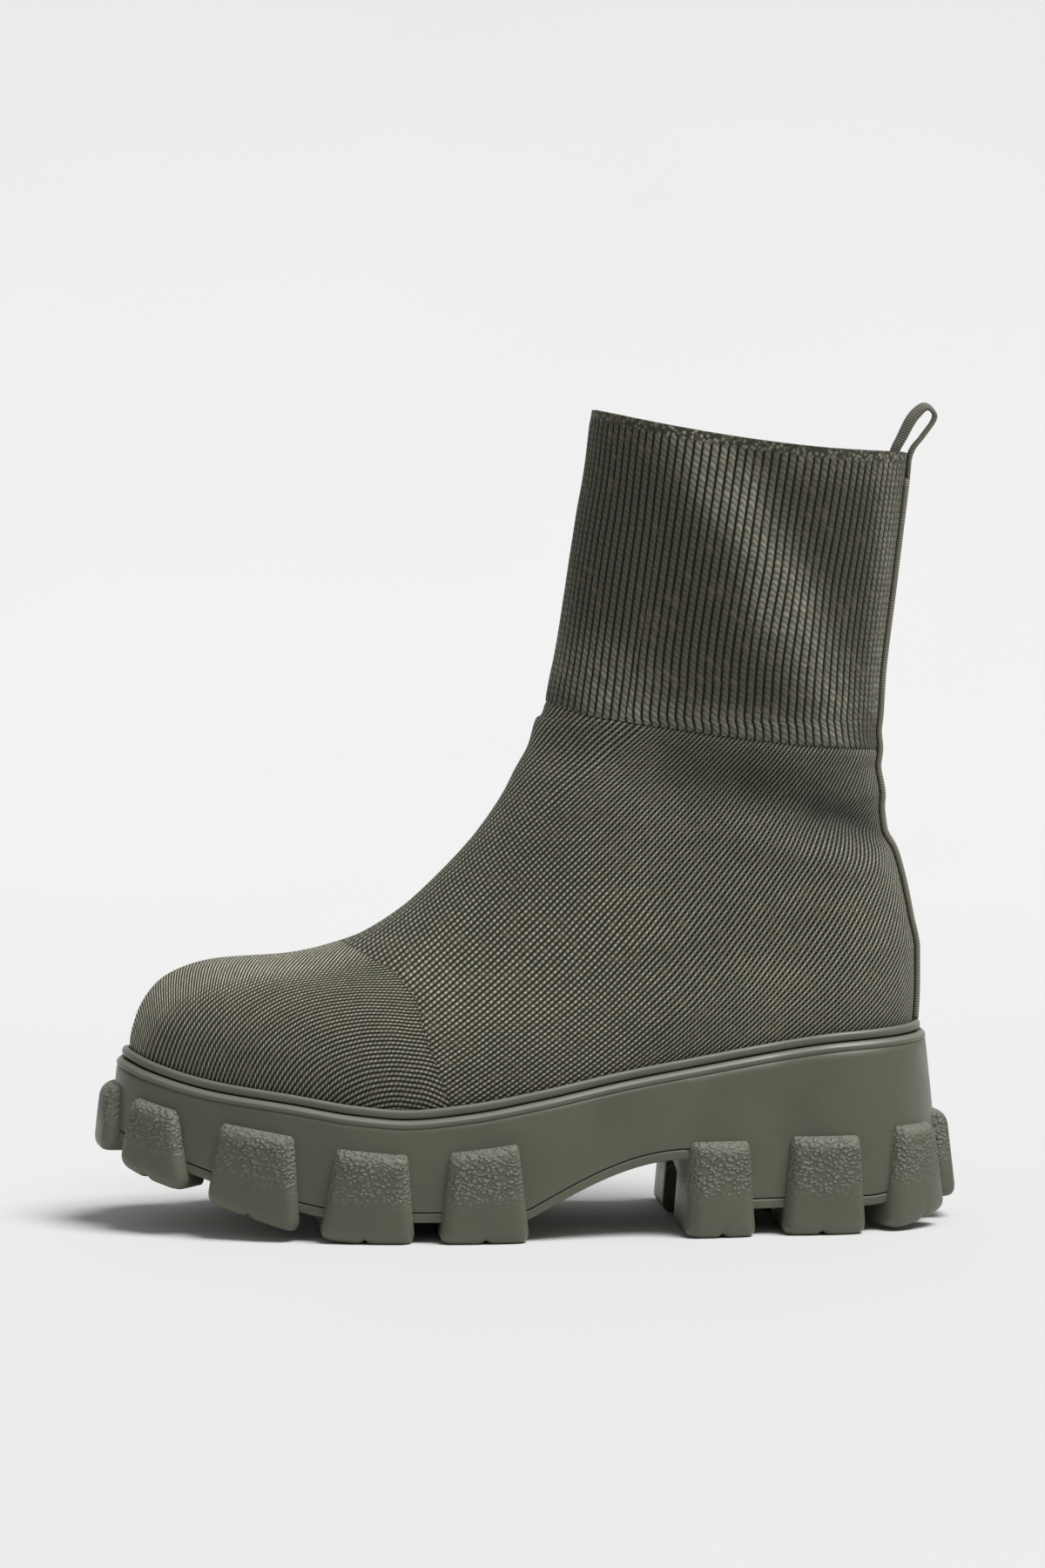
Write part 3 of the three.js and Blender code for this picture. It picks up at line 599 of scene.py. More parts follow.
shaft_level_grid = mix(border_level(shaft_angles), collar_level, share_up)
rib_number = np.arange(shaft_columns) / steps_per_rib
from_groove = 0.5 - np.abs((rib_number + 0.5) % 1 - 0.5)
rib_form = (1 - np.exp(-(from_groove / 0.15) ** 2)) * (0.8 + 0.2 * np.sin(math.pi * from_groove))
shaft_bare = knit_point(shaft_level_grid, shaft_angles)
bare_run = run_along(shaft_bare)
hem_fade = np.clip((bare_run[-1:] - bare_run - hem_height + 0.6) / 1.4, 0, 1)
rib_fade = np.clip(share_up / 0.05, 0, 1) * hem_fade
shaft_relief = (crease_height(shaft_level_grid, shaft_angles) * np.clip((1 - share_up) / 0.25, 0.25, 1)
                + rib_depth * (rib_form - 0.75) * rib_fade)
shaft_outside = knit_offset(shaft_level_grid, shaft_angles, shaft_relief)
collar_angles = shaft_angles[-1]
collar_normal = outward_of(collar_level, collar_angles)
collar_top = knit_point(collar_level, collar_angles)
collar_up = collar_top - knit_point(collar_level - 0.05, collar_angles)
collar_up /= np.linalg.norm(collar_up, axis=-1, keepdims=True)
hem_rows = [collar_top + collar_normal * (math.cos(turn) - 1) * knit_wall / 2 + collar_up * hem_rise * math.sin(turn)
            for turn in np.linspace(0, math.pi, 7)[1:-1]]
inner_share = np.linspace(0, 1, shaft_inside_rows)[:, None]
inner_levels = mix(collar_level, border_level(collar_angles), inner_share)
shaft_inside = knit_offset(inner_levels, collar_angles, -knit_wall)
shaft_grid = np.concatenate([shaft_outside, np.array(hem_rows), shaft_inside])
shaft_knit = object_from("shaft_rib", shaft_grid.reshape(-1, 3),
                         band_faces(len(shaft_grid), shaft_columns, close_along=True))
turn_outward(shaft_knit)
rib_stitch_pitch = 2.0
column_run = run_along(shaft_outside)
last_run = column_run[-1:]
hem_run = last_run + np.linspace(0.5, 3.0, len(hem_rows))[:, None]
stitch_run = np.concatenate([column_run, hem_run, last_run + 3.5 + inner_share * 100]) / rib_stitch_pitch
rib_map = np.stack(np.broadcast_arrays(rib_number, stitch_run), axis=-1)
add_map(shaft_knit, "rib_stitches", rib_map, rib_count)
add_amount(shaft_knit, "below_collar", last_run - column_run, -1)

# Where the ribs are pulled open they show their light yarn, and light is painted on the ridge band and the shaft's
# front and rear edges, placed like the creases
light_areas = [
    # name, x1, z1, x2, z2, half width, amount
    ("band from the collar", 178, 260, 192, 240, 9, 0.9),
    ("band over the middle", 192, 240, 209, 204, 9, 0.8),
    ("band to the heel side", 209, 204, 227, 172, 10, 0.7),
    ("patch over the instep", 150, 180, 158, 174, 12, 0.6),
    ("foot of the ribs", 150, 170, 230, 160, 5, 0.35),
    ("rear edge", 246, 250, 244, 170, 5, 0.55),
    ("front edge", 142, 250, 138, 180, 4, 0.35),
    ("top behind the collar", 214, 250, 238, 246, 6, 0.3),
]
add_amount(shaft_knit, "stretched_and_painted_light", np.clip(0.08 + painted(light_areas, shaft_bare), 0, 1), 0.3)
add_amount(shaft_knit, "lining", np.zeros((shaft_rows + len(hem_rows), shaft_columns)), 1)

rib_dark = (0.010, 0.010, 0.006, 1)
rib_ground = (0.042, 0.042, 0.028, 1)
rib_light = (0.450, 0.441, 0.342, 1)

rib = Nodes("rib_stitches")
rib_place, along = rib.parts(rib.map("rib_stitches"))
drift = rib.scaled(rib.noise(260.0, 2.0), 1.1, -0.55)
from_middle = rib.math("SUBTRACT", rib_place, rib.math("ROUND", rib_place))
stitch_place = rib.math("ADD", rib.math("ADD", along, drift), rib.times(from_middle, 0.9))
on_rib = rib.ramp(rib.math("ABSOLUTE", from_middle), 0.45, 0.27)
rib_stitch = rib.times(on_rib, rib.ramp(rib.wave(stitch_place), 0.30, 0.98, 0.42, 1.0))
fleck = rib.random(rib_place, stitch_place)
hem = rib.ramp(rib.amount("below_collar"), hem_height + 0.4, hem_height - 0.4)
hem_stitch = rib.ramp(rib.cells(rib.place(), 720.0, feature="F1").outputs["Distance"], 0.62, 0.15)
# Rib stitches lighter where the ribs are pulled open and where light is painted on them
lit = rib.times(rib.amount("stretched_and_painted_light"), rib.scaled(fleck, 0.5, 0.6))
base = rib.blend(on_rib, rib_dark, rib_ground)
base = rib.blend(rib.times(rib_stitch, rib.scaled(lit, 0.72, 0.07)), base, rib_light)
hem_lit = rib.scaled(rib.amount("stretched_and_painted_light"), 0.45, 0.3)
hem_base = rib.blend(rib.times(hem_stitch, hem_lit), rib_ground, rib_light)
edge_bead = rib.times(rib.ramp(rib.amount("below_collar"), 1.0, 0.2), rib.wave(rib_place))
hem_base = rib.blend(rib.times(edge_bead, 0.7), hem_base, rib_dark)
base = rib.blend(hem, base, hem_base)
base = rib.blend(rib.times(rib.math("GREATER_THAN", fleck, 0.94), 0.35), base, yarn_brown)
yarn_finish(rib, base, rib.scaled(rib.amount("lining"), -0.55, 1.0), rib_stitch, (0.92, 0.66), 0.05)
raised = rib.blend(hem, rib_stitch, hem_stitch, "FLOAT")
rib.bump(rib.scaled(rib.noise(2600.0, 2.0), 0.4, raised), 0.00012, 0.8)
rib.finish(shaft_knit)
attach(shaft_knit, "root")
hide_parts("upper")


# Insole: a board under a dark brushed sock lining, laid loose inside the foot of the knit. Only its top is seen,
# from above through the collar.
insole_thickness = 4
feather_depth = 0.134 * instep_height
insole_columns = 120
insole_angles = np.arange(insole_columns) * 2 * math.pi / insole_columns
insole_top = insole_thickness / feather_depth
insole_rings = [knit_offset(level, insole_angles, -knit_wall - clearance - inset) for level, inset in (
    (0, 0.6), (0.02, 0.0), (insole_top * 0.8, 0.0), (insole_top * 0.95, 0.3), (insole_top, 1.0))]
insole_rings[0][:, 2] = insole_rings[1][:, 2] - 0.05
middle_line = (insole_rings[-1] + insole_rings[-1][(-np.arange(insole_columns)) % insole_columns]) / 2
for inset in (0.2, 0.45, 0.7, 0.9):
    next_ring = mix(insole_rings[4], middle_line, inset)
    next_ring[:, 2] += 0.25 * math.sin(inset * math.pi)
    insole_rings.append(next_ring)
def capped_faces(rings, columns, first_down):
    """Faces round a body of rings, its first and last ring closed straight across."""
    faces = band_faces(rings, columns)
    for first, downward in ((0, first_down), ((rings - 1) * columns, not first_down)):
        for index in range(columns // 2):
            corners = [(columns - index) % columns, index, index + 1, columns - index - 1]
            corners = [corner + first for place, corner in enumerate(corners) if corner not in corners[:place]]
            if len(corners) > 2:
                faces.append(corners if downward else corners[::-1])
    return faces


insole = object_from("insole_lining", np.concatenate(insole_rings),
                     capped_faces(len(insole_rings), insole_columns, True))
turn_outward(insole)
felt = Nodes("brushed_lining")
nap = felt.noise(1400.0, 4.0, 0.6)
base = felt.blend(felt.ramp(nap, 0.3, 0.7), (0.022, 0.022, 0.017, 1), (0.06, 0.059, 0.046, 1))
base = felt.blend(felt.ramp(felt.noise(70.0, 3.0), 0.35, 0.75, 0.0, 0.4), base, (0.035, 0.034, 0.026, 1))
felt.look("Base Color", base)
felt.look("Roughness", felt.ramp(nap, 0.2, 0.8, 0.98, 0.85))
felt.look("Sheen Weight", 0.3)
felt.bump(nap, 0.0004, 0.7)
felt.finish(insole)
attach(insole, "root")
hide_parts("insole")


# Midsole: the thick platform, moulded in one with its ledge, a scored line under the ledge and a smooth wall that
# flares down to the parting line. Olive satin rubber, cemented to the foot of the knit.
rand_height = 2.9
rand_proud = 2.5
ledge_slope_width = 1.75
ledge_slope_drop = 1.3
ledge_side = 1.4
wall_flare = 0.105
layer_thickness = 3
toe_slope = 0.325
heel_bevel = 3.5
arch_rise = 18.5
fore_lug_depth = 6.5
heel_lug_depth = 8.5
spring_station = 0.3
straight_toe_station = 0.17
toe_curl = 0.45
curl_station = 0.03
arch_start = 0.488
breast_station = 0.698
bevel_station = 0.93
ledge_top_depth = rand_height + clearance
ledge_edge_depth = ledge_top_depth + ledge_slope_drop
wall_top_depth = ledge_edge_depth + ledge_side
wall_top_out = rand_proud + ledge_slope_width
rand_level_drop = rand_height / feather_depth


def rand_edge(angle):
    """The knit at the rand's upper edge, and the way straight out from it."""
    along = knit_point(rand_level, angle + 0.01) - knit_point(rand_level, angle - 0.01)
    outward = np.stack([along[:, 1], -along[:, 0], np.zeros(len(angle))], axis=-1)
    return knit_point(rand_level, angle), outward / np.linalg.norm(outward, axis=-1, keepdims=True)


def wall_point(angle, height, out=0.0):
    point, outward = rand_edge(angle)
    flare = np.maximum(0, point[:, 2] - wall_top_depth - height) * wall_flare
    result = point + outward * (wall_top_out + flare + out)[:, None]
    result[:, 2] = height
    return result


def ground_lift(x):
    share = x / upper_length
    ahead = np.maximum(0, spring_station - share) * upper_length
    roll = (spring_station - straight_toe_station) * upper_length
    spring = np.where(ahead < roll, toe_slope * ahead ** 2 / (2 * roll), toe_slope * (ahead - roll / 2))
    spring = spring + toe_curl * np.maximum(0, 1 - share / curl_station) ** 2
    bevel = np.maximum(0, (share - bevel_station) / (1 - bevel_station))
    return spring + heel_bevel * bevel ** 1.5


def underside_height(x):
    share = x / upper_length
    in_arch = (share > arch_start) & (share < breast_station)
    arch = np.where(in_arch, arch_rise * np.sin((share - arch_start) / (breast_station - arch_start) * math.pi / 2), 0)
    return ground_lift(x) + np.where(share < breast_station, fore_lug_depth, heel_lug_depth) + arch


# Even angles with a pair at each side of the heel breast, where the underside steps down
sole_columns = 320
breast_gap = 0.0008
fine_angles = np.linspace(0, math.pi, 4001)
fine_x = wall_point(fine_angles, underside_height(knit_point(rand_level, fine_angles)[:, 0]))[:, 0]
breast_angle = fine_angles[np.argmin(np.abs(fine_x - breast_station * upper_length))]
half_round = np.linspace(0, math.pi, sole_columns // 2 + 1)
nearest = np.argmin(np.abs(half_round - breast_angle))
half_round[nearest:nearest + 2] = breast_angle - breast_gap, breast_angle + breast_gap
sole_round = np.concatenate([half_round, 2 * math.pi - half_round[-2:0:-1]])


def ring_on_knit(depth):
    level = rand_level - depth / rand_height * rand_level_drop
    return knit_offset(level, sole_round, clearance)


def ring_by_rand(out, depth):
    point, outward = rand_edge(sole_round)
    return point + outward * out - np.array([0, 0, depth])


def ring_at_foot(lift, out=0.0):
    """Foot of the wall, a height above the underside that follows its arch and toe spring."""
    height = 20.0
    for _ in range(4):
        height = underside_height(wall_point(sole_round, height, out)[:, 0]) + lift
    return wall_point(sole_round, height, out)


ledge_section = [
    # out from the knit, down from the rand's upper edge
    (rand_proud * 0.78, ledge_top_depth + 0.45), (rand_proud * 0.9, ledge_top_depth + 0.35),
    (rand_proud * 1.0, ledge_top_depth - 0.02), (rand_proud + 0.3, ledge_top_depth - 0.05),
    (rand_proud + ledge_slope_width * 0.55, ledge_top_depth + ledge_slope_drop * 0.38),
    (wall_top_out - 0.35, ledge_edge_depth - 0.38), (wall_top_out - 0.08, ledge_edge_depth - 0.08),
    (wall_top_out, ledge_edge_depth + 0.25), (wall_top_out + 0.02, wall_top_depth - 0.5),
    (wall_top_out - 0.12, wall_top_depth - 0.24), (wall_top_out - 0.42, wall_top_depth - 0.08),
    (wall_top_out - 0.42, wall_top_depth + 0.12), (wall_top_out - 0.05, wall_top_depth + 0.32),
]
wall_shares = (0.06, 0.14, 0.24, 0.36, 0.48, 0.6, 0.72, 0.84, 0.94)
wall_top_z = rand_edge(sole_round)[0][:, 2] - wall_top_depth
wall_foot_z = ring_at_foot(layer_thickness + clearance)[:, 2]
midsole_rings = [knit_offset(0.15, sole_round, clearance), ring_on_knit(ledge_top_depth)]
midsole_rings += [ring_by_rand(out, depth) for out, depth in ledge_section]
midsole_rings += [wall_point(sole_round, mix(wall_top_z, wall_foot_z, share)) for share in wall_shares]
midsole_rings += [ring_at_foot(layer_thickness + clearance + lift, out)
                  for lift, out in ((0.45, 0.0), (0.12, -0.1), (0.0, -0.45))]
midsole = object_from("platform_midsole", np.concatenate(midsole_rings),
                      capped_faces(len(midsole_rings), sole_columns, False))
turn_outward(midsole)

rubber_olive = (0.112, 0.117, 0.080, 1)
rubber_deep = (0.094, 0.098, 0.067, 1)
worn_and_highlight_rubber = (0.255, 0.258, 0.212, 1)


def rubber_finish(name, grained):
    """Olive satin rubber: fine mould texture and light wear specks all over, pebbled leather grain where asked, and
    painted highlights on edges and tops.
    """
    rubber = Nodes(name)
    mottle = rubber.noise(38.0, 4.0, 0.3)
    base = rubber.blend(rubber.ramp(mottle, 0.3, 0.7), rubber_deep, rubber_olive)
    base = rubber.blend(rubber.ramp(rubber.noise(900.0, 3.0), 0.58, 0.8, 0.0, 0.1), base, worn_and_highlight_rubber)
    height = rubber.times(rubber.noise(2400.0, 3.0), 0.12)
    distance = 0.0001
    gloss = rubber.ramp(mottle, 0.3, 0.7, 0.44, 0.37)
    if grained:
        flattened = rubber.vector("MULTIPLY", rubber.place(), (1.0, 1.0, 1.45))
        bent = rubber.vector("MULTIPLY_ADD", rubber.noise(420.0, 2.0, output="Color"), (0.0012,) * 3, flattened)
        cells = rubber.cells(bent, 640.0, feature="SMOOTH_F1", voronoi_dimensions="3D")
        rubber.put(cells.inputs["Smoothness"], 0.4)
        pebble = rubber.ramp(cells.outputs["Distance"], 0.7, 0.15)
        patchy = rubber.ramp(rubber.noise(190.0, 2.0), 0.3, 0.62, 0.5, 1.0)
        grain = rubber.times(rubber.amount("grain"), patchy)
        height = rubber.scaled(pebble, grain, rubber.times(height, 0.08))
        distance = 0.0008
        # Painted shade in the grain's hollows and painted highlight on its pebbles
        base = rubber.blend(rubber.times(grain, rubber.ramp(pebble, 0.5, 0.05, 0.0, 0.6)), base, rubber_deep)
        base = rubber.blend(rubber.times(grain, rubber.ramp(pebble, 0.5, 0.95, 0.0, 0.6)), base, worn_and_highlight_rubber)
        gloss = rubber.scaled(rubber.amount("grain"), 0.16, gloss)
    # Painted highlight: edges and tops that face the overhead light made lighter
    base = rubber.blend(rubber.times(rubber.amount("edge"), 0.62), base, worn_and_highlight_rubber)
    rubber.look("Base Color", base)
    rubber.look("Roughness", gloss)
    rubber.look("Specular IOR Level", 0.5)
    rubber.bump(height, distance, 0.9)
    return rubber


# Painted highlight along the ledge's slope and outer edge
ledge_highlights = np.zeros(len(midsole_rings))
ledge_highlights[5:10] = (0.3, 0.8, 0.9, 0.6, 0.2)
add_amount(midsole, "edge", np.repeat(ledge_highlights, sole_columns))
rubber_finish("midsole_rubber", False).finish(midsole)
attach(midsole, "root")
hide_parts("midsole")


# Rand: a rounded rubber bead, vulcanised round the foot of the knit on the ledge of the midsole.
rand_section = [
    # out from the knit, down from the upper edge
    (clearance, 0.25), (0.75, 0.06), (1.2, 0.0), (1.65, 0.07), (2.05, 0.3), (2.35, 0.75), (rand_proud, 1.35),
    (rand_proud, 1.8), (2.42, 2.3), (2.2, 2.65), (1.9, 2.88), (clearance, rand_height),
]
rand_rings = [ring_by_rand(out, depth) if out > clearance else ring_on_knit(depth) for out, depth in rand_section]
rand = object_from("rand_bead", np.concatenate(rand_rings),
                   band_faces(len(rand_rings), sole_columns, close_along=True))
turn_outward(rand)
# Painted highlight on the bead's rounded top
add_amount(rand, "edge", np.repeat([0, 0.4, 0.9, 1, 0.8, 0.4, 0.1, 0, 0, 0, 0, 0], sole_columns))
rubber_finish("rand_rubber", False).finish(rand)
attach(rand, "root")
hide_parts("rand")


# Outsole: a 3 mm rubber layer under the midsole, in one with its sixteen lugs. Each lug is a pillow with rounded
# edges that stands on the ground and climbs the wall, grained like leather at its top, with a small cleft at
# the middle of its foot.
lug_height = 31
lug_proud = 5
channel_half_width = 13
toe_tread_radius = 20
side_lugs = [
    # from, to, top from, top to (degrees round the wall from the toe), climb, slope, corner radius
    (15, 34.6, 17.8, 30.4, 0.76, 1, 5.5), (38.4, 55.4, 40.6, 54, 0.9, 1.25, 4),
    (58.4, 72.7, 60.9, 71.6, 0.93, 0.9, 3.6), (75.9, 88.6, 77.5, 87.2, 0.96, 0.8, 3.6),
    (111.5, 122.8, 112.8, 122.2, 0.98, 0, 3), (127.7, 144.4, 130.4, 144, 1.01, 0, 3.6),
    (148.8, 166.5, 153.2, 165.3, 0.98, 0.3, 4.5),
]
centre_lugs = [(-11, 11, -8, 8, 0.68, 1, 8), (173, 187, 175, 185, 0.9, 0, 4)]
layer_rings = [ring_at_foot(lift, out) for lift, out in (
    (layer_thickness, -0.5), (layer_thickness - 0.1, -0.12), (layer_thickness - 0.35, 0.0), (1.5, 0.0), (0.5, 0.0),
    (0.15, -0.12), (0.0, -0.5))]
face_columns = 33
flank_steps = 4
top_round = 4.5


def round_off(distance, radius):
    """Share of full height at a distance in from an edge rounded to a radius."""
    near = np.clip(1 - distance / radius, 0, 1)
    return np.sqrt(1 - near ** 2)


def lug_mesh(lug, side):
    """Rings of a lug from its foot to its top, with the amounts of grain and of painted highlight at each point."""
    start, end, top_start, top_end, climb, slope, corner = lug
    middle = np.array([math.radians((start + end) / 2) * side])
    middle_top = rand_edge(middle)[0][0, 2]
    middle_lift = ground_lift(wall_point(middle, 0)[:, 0])
    whole_height = climb * lug_height
    share_across = (1 - np.cos(np.linspace(0, math.pi, face_columns))) / 2
    corner_shares = (1 - np.cos(np.linspace(0, math.pi / 2, 9))) * corner / whole_height
    top_shares = 1 - (1 - np.cos(np.linspace(0, math.pi / 2, 7))) * top_round / whole_height
    between = np.linspace(corner_shares[-1], top_shares[-1], 20)[1:-1]
    ends_on_wall = wall_point(np.radians([start, end]) * side, 0)
    width = np.linalg.norm(ends_on_wall[0] - ends_on_wall[1])
    loops, grains, edges = [], [], []
    for up in np.concatenate([corner_shares, between, top_shares[::-1]]):
        rise = up * whole_height
        top_gap = whole_height - rise
        inset = corner * (1 - round_off(rise, corner)) * 0.8 + 1.6 * (1 - round_off(top_gap, 2.2))
        narrowed = 0.5 + (share_across - 0.5) * (1 - 2 * inset / width)
        angles = np.radians(mix(mix(start, top_start, up), mix(end, top_end, up), narrowed)) * side
        foot_z = ground_lift(wall_point(angles, 0)[:, 0])
        top_z = middle_lift + whole_height + (rand_edge(angles)[0][:, 2] - middle_top) * slope
        across_gap = np.minimum(share_across, 1 - share_across) * width * mix(1, 0.84, up)
        crown = 1 - 0.14 * (2 * share_across - 1) ** 2
        face = crown * round_off(across_gap, 3.6) * (0.1 + 0.9 * round_off(top_gap, top_round)) * mix(1.0, 0.93, up)
        foot_round = 0.45 + 0.55 * round_off(rise, 4.0)
        off_middle = (share_across - 0.5) * width
        cleft = 0.12 * np.clip(1 - rise / 8.0, 0, 1) * np.exp(-(off_middle / 1.3) ** 2)
        proud = lug_proud * np.maximum(face * foot_round - cleft, 0.02)
        points = wall_point(angles, mix(foot_z, top_z, up), proud)
        points[:, 2] += 1.1 * np.exp(-(off_middle / 1.2) ** 2) * np.clip(1 - rise / 4.0, 0, 1)
        ends = []
        for edge in (points[-1], points[0]):
            centre = np.array([np.clip(edge[0], toe_tread_radius + channel_half_width,
                                       upper_length - toe_tread_radius - channel_half_width), 0, edge[2]])
            stop = toe_tread_radius if abs(edge[0] - centre[0]) > 0 else channel_half_width
            away = edge - centre
            ends.append(centre + away / np.linalg.norm(away) * stop)
        flank_out = [mix(points[-1], ends[0], step / flank_steps) for step in range(1, flank_steps + 1)]
        flank_in = [mix(ends[1], points[0], step / flank_steps) for step in range(0, flank_steps)]
        loops.append(np.concatenate([points, flank_out, flank_in]))
        fade = np.clip((up - 0.3) / 0.4, 0, 1)
        grains.append(np.full(len(loops[0]), fade * fade * (3 - 2 * fade)))
        # Painted highlight on the rounded side edges, stronger towards the top, and along the top edge
        side_highlight = np.concatenate([np.clip(1 - across_gap / 2.2, 0, 1), np.zeros(2 * flank_steps)])
        edges.append(np.maximum(side_highlight * (0.25 + 0.75 * up), np.clip(1 - top_gap / 4.0, 0, 1) * 0.8))
    return loops, grains, edges


def tube_faces(rows, columns, first=0):
    """Faces of a tube of rings with both ends closed."""
    ring = list(range(first, first + columns))
    return band_faces(rows, columns, first) + [ring[::-1], [corner + (rows - 1) * columns for corner in ring]]


outsole_points = list(layer_rings)
outsole_faces = capped_faces(len(layer_rings), sole_columns, False)
grain_amounts = [np.zeros(len(layer_rings) * sole_columns)]
edge_amounts = list(grain_amounts)
for lug, side in [(lug, side) for lug in side_lugs for side in (1, -1)] + [(lug, 1) for lug in centre_lugs]:
    loops, grains, edges = lug_mesh(lug, side)
    outsole_faces.extend(tube_faces(len(loops), len(loops[0]), sum(len(ring) for ring in outsole_points)))
    outsole_points.extend(loops)
    grain_amounts.extend(grains)
    edge_amounts.extend(edges)
outsole = object_from("lugged_outsole", np.concatenate(outsole_points), outsole_faces)
shell = bmesh.new()
shell.from_mesh(outsole.data)
bmesh.ops.recalc_face_normals(shell, faces=shell.faces)
shell.to_mesh(outsole.data)
shell.free()
add_amount(outsole, "grain", np.concatenate(grain_amounts))
add_amount(outsole, "edge", np.concatenate(edge_amounts))
rubber_finish("lug_rubber", True).finish(outsole)
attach(outsole, "root")
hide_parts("outsole")


# Back tape: a woven tape 11 mm wide, sewn over the back seam of the knit, from the pull loop down to the rand.
tape_width = 11.4
tape_thickness = 1.7
loop_leg = 8
tape_rows = 150
tape_columns = 12


def strap_reach(level, width):
    gap = knit_point(level, math.pi + 0.01) - knit_point(level, math.pi - 0.01)
    return width / 2 * 0.02 / np.linalg.norm(gap, axis=-1)


leg_span = np.linalg.norm(knit_point(collar_level, math.pi) - knit_point(collar_level - 1, math.pi))
tape_levels = np.linspace(rand_level + 0.03, collar_level - (loop_leg - 0.2) / leg_span, tape_rows)
section_turn = np.linspace(-1, 1, tape_columns)
swell = 0.78 + 0.22 * np.sqrt(1 - section_turn ** 4)
stitched_edge = 0.12 * np.exp(-((np.abs(section_turn) - 0.86) / 0.07) ** 2)
tape_across = np.concatenate([section_turn, section_turn[::-1]])
tape_lift = np.concatenate([clearance + tape_thickness * swell + stitched_edge, np.full(tape_columns, clearance)])
tape_rings = []
for level in tape_levels:
    angles = math.pi + tape_across * strap_reach(level, tape_width)
    tape_rings.append(knit_offset(level, angles, tape_lift + crease_height(level, angles)))
back_tape = object_from("back_tape_woven", np.concatenate(tape_rings), tube_faces(tape_rows, len(tape_across)))
turn_outward(back_tape)


def add_weave(piece, across, run):
    add_map(piece, "weave", np.stack(np.broadcast_arrays(across, run[:, None]), axis=-1))


add_weave(back_tape, tape_across * tape_width / 2, run_along(knit_point(tape_levels, math.pi)))


def webbing_finish(name):
    """Olive grosgrain: fine cross ribs, slightly glossy yarn."""
    webbing = Nodes(name)
    across, along = webbing.parts(webbing.map("weave"))
    cross_rib = webbing.wave(webbing.times(along, 1 / 0.85))
    warp = webbing.wave(webbing.times(across, 1 / 0.7))
    weave = webbing.scaled(warp, 0.35, webbing.times(cross_rib, 0.65))
    base = webbing.blend(webbing.ramp(weave, 0.1, 0.8), (0.095, 0.089, 0.061, 1), (0.250, 0.238, 0.174, 1))
    cloud = webbing.ramp(webbing.noise(120.0, 3.0), 0.4, 0.7, 0.0, 0.35)
    webbing.look("Base Color", webbing.blend(cloud, base, (0.130, 0.123, 0.092, 1)))
    webbing.look("Roughness", webbing.ramp(weave, 0.0, 1.0, 0.8, 0.55))
    webbing.look("Sheen Weight", 0.08)
    webbing.bump(weave, 0.0003, 0.7)
    return webbing


webbing_finish("tape_webbing").finish(back_tape)
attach(back_tape, "root")
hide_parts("back_tape")


# Pull loop: a doubled strip of the same tape that leans back over the collar, one leg sewn inside it and one
# outside, slightly twisted where it stands free.
loop_width = 8
loop_thickness = 1.6
loop_height = 16.5
collar_back = knit_point(collar_level, math.pi)
leg_drop = loop_leg / leg_span
outside_leg = clearance + loop_thickness / 2
wall_back = knit_offset(collar_level, math.pi, -knit_wall)
wall_at_edge = knit_offset(collar_level, math.pi + strap_reach(collar_level, loop_width), -knit_wall)
inside_leg = -knit_wall - (wall_back[0] - wall_at_edge[0]) - clearance - loop_thickness / 2


def leg_point(distance, share):
    return knit_offset(collar_level - leg_drop * share, math.pi, distance)


def crown_point(forward, up):
    return collar_back + np.array([forward, 0, up * loop_height])


loop_path = np.array([
    leg_point(inside_leg, 1), leg_point(inside_leg, 0.5), leg_point(inside_leg, 0),
    crown_point(-1.6, 0.3), crown_point(2.6, 0.75), crown_point(6.6, 0.93), crown_point(9.4, 0.75),
    crown_point(5.6, 0.36), crown_point(2.2, 0.1),
    leg_point(outside_leg, 0.2), leg_point(outside_leg, 0.6), leg_point(outside_leg, 1),
])


def centripetal(points, per_span):
    """Smooth path through points that doesn't overshoot where they lie close together."""
    ends = np.concatenate([[2 * points[0] - points[1]], points, [2 * points[-1] - points[-2]]])
    path = []
    for a, b, c, d in zip(ends[:-3], ends[1:-2], ends[2:-1], ends[3:]):
        gaps = [max(np.linalg.norm(q - p) ** 0.5, 1e-4) for p, q in ((a, b), (b, c), (c, d))]
        start = ((b - a) / gaps[0] - (c - a) / (gaps[0] + gaps[1]) + (c - b) / gaps[1]) * gaps[1]
        end = ((c - b) / gaps[1] - (d - b) / (gaps[1] + gaps[2]) + (d - c) / gaps[2]) * gaps[1]
        for t in np.arange(per_span) / per_span:
            path.append(b * (2 * t ** 3 - 3 * t ** 2 + 1) + start * (t ** 3 - 2 * t ** 2 + t)
                        + c * (3 * t ** 2 - 2 * t ** 3) + end * (t ** 3 - t ** 2))
    path.append(points[-1])
    return np.array(path)


loop_rows = 110
loop_line = centripetal(loop_path, 10)
loop_run = run_along(loop_line)
even_run = np.linspace(0, loop_run[-1], loop_rows)
loop_even = np.stack([np.interp(even_run, loop_run, loop_line[:, axis]) for axis in range(3)], axis=-1)
loop_along = np.gradient(loop_even, axis=0)
loop_along /= np.linalg.norm(loop_along, axis=-1, keepdims=True)
loop_share = np.linspace(0, 1, loop_rows)
twist = np.radians(mix(-15.0, -5.0, np.clip((loop_share - 0.42) / 0.16, 0, 1))) * np.sin(math.pi * loop_share) ** 0.8
section_turn = np.linspace(0, 2 * math.pi, 28, endpoint=False)
wide = np.sign(np.cos(section_turn)) * np.abs(np.cos(section_turn)) ** 0.35 * loop_width / 2
thick = np.sign(np.sin(section_turn)) * np.abs(np.sin(section_turn)) ** 0.75 * loop_thickness / 2
loop_rings = []
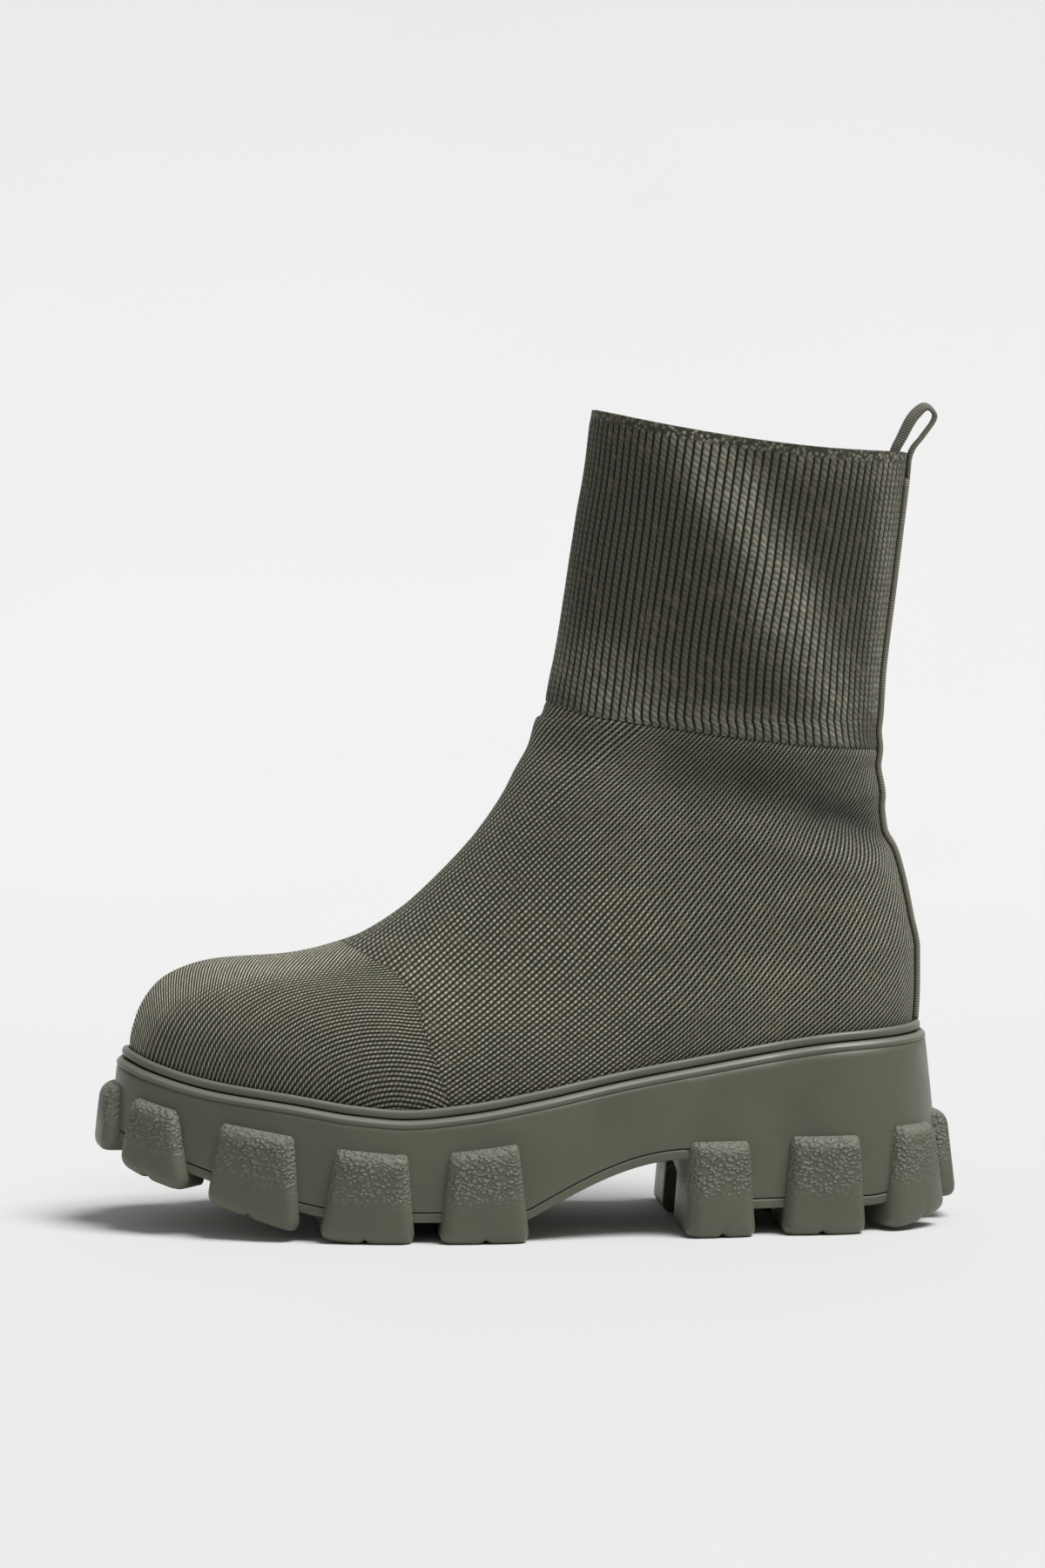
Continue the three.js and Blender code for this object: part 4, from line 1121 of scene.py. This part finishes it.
for middle, direction, turned in zip(loop_even, loop_along, twist):
    across = np.array([0, 1.0, 0])
    through = np.cross(across, direction)
    through /= np.linalg.norm(through)
    turned_across = across * math.cos(turned) + through * math.sin(turned)
    turned_through = through * math.cos(turned) - across * math.sin(turned)
    loop_rings.append(middle + wide[:, None] * turned_across + thick[:, None] * turned_through)
pull_loop = object_from("pull_loop_tape", np.concatenate(loop_rings), tube_faces(loop_rows, len(section_turn)))
turn_outward(pull_loop)
add_weave(pull_loop, wide, even_run)
webbing_finish("loop_webbing").finish(pull_loop)
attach(pull_loop, "root")
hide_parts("pull_loop")


# Floor: a pale studio sweep, flat under the boot and rolled up behind it.
sweep_half_width = 3.0
sweep_near = -3.0
sweep_start = 0.9
sweep_radius = 2.5
sweep_profile = [(sweep_near, 0.0), (-1.0, 0.0), (0.5, 0.0), (sweep_start, 0.0)]
sweep_profile += [(sweep_start + sweep_radius * math.sin(turn), sweep_radius * (1 - math.cos(turn)))
                  for turn in np.linspace(0.06, math.pi / 2, 26)]
sweep_mesh = bpy.data.meshes.new("studio_sweep")
sweep_points = [(side * sweep_half_width, y, z) for y, z in sweep_profile for side in (-1, 1)]
sweep_mesh.from_pydata(sweep_points, [], band_faces(len(sweep_profile), 2, close_round=False))
sweep_mesh.polygons.foreach_set("use_smooth", [True] * len(sweep_mesh.polygons))
sweep = in_scene("studio_sweep", sweep_mesh)
paper = Nodes("pale_paper")
tone = paper.ramp(paper.noise(3.0, 2.0), 0.3, 0.7)
paper.look("Base Color", paper.blend(tone, (0.728, 0.728, 0.726, 1), (0.736, 0.736, 0.734, 1)))
paper.look("Roughness", 0.9)
paper.look("Specular IOR Level", 0.1)
paper.finish(sweep)


# Light: a white studio with one large soft light, overhead and slightly in front to the right.
key = bpy.data.lights.new("overhead_light", "SUN")
key.angle = math.radians(32)
key.energy = 3.1
key_lamp = in_scene("overhead_light", key)
key_x, key_y, key_z = 0.36, -0.2, 0.92
key_lamp.rotation_euler = (math.atan2(math.hypot(key_x, key_y), key_z), 0, math.atan2(key_x, -key_y))
world = bpy.data.worlds.new("white_studio")
world.use_nodes = True
background = world.node_tree.nodes["Background"]
background.inputs["Color"].default_value = (1, 1, 1, 1)
background.inputs["Strength"].default_value = 0.25
bpy.context.scene.world = world
bpy.context.scene.view_settings.view_transform = "Standard"


# Camera: a long lens from the boot's outer side, turned 5 degrees towards the toe and slightly above it.
focal_pixels = 6864
photo_height = 1800
camera_data = bpy.data.cameras.new("studio_camera")
camera_data.sensor_fit = "VERTICAL"
camera_data.sensor_height = 36
camera_data.lens = focal_pixels / photo_height * camera_data.sensor_height
camera_data.clip_end = 20
camera = in_scene("studio_camera", camera_data)
turned = math.radians(-5)
tilt = math.radians(90 - 3.87)
distance = 1.95
aside = -0.0013
height = 0.275
camera.location = (math.sin(turned) * distance + math.cos(turned) * aside,
                   -math.cos(turned) * distance + math.sin(turned) * aside, height)
camera.rotation_euler = (tilt, 0, turned)
bpy.context.scene.camera = camera
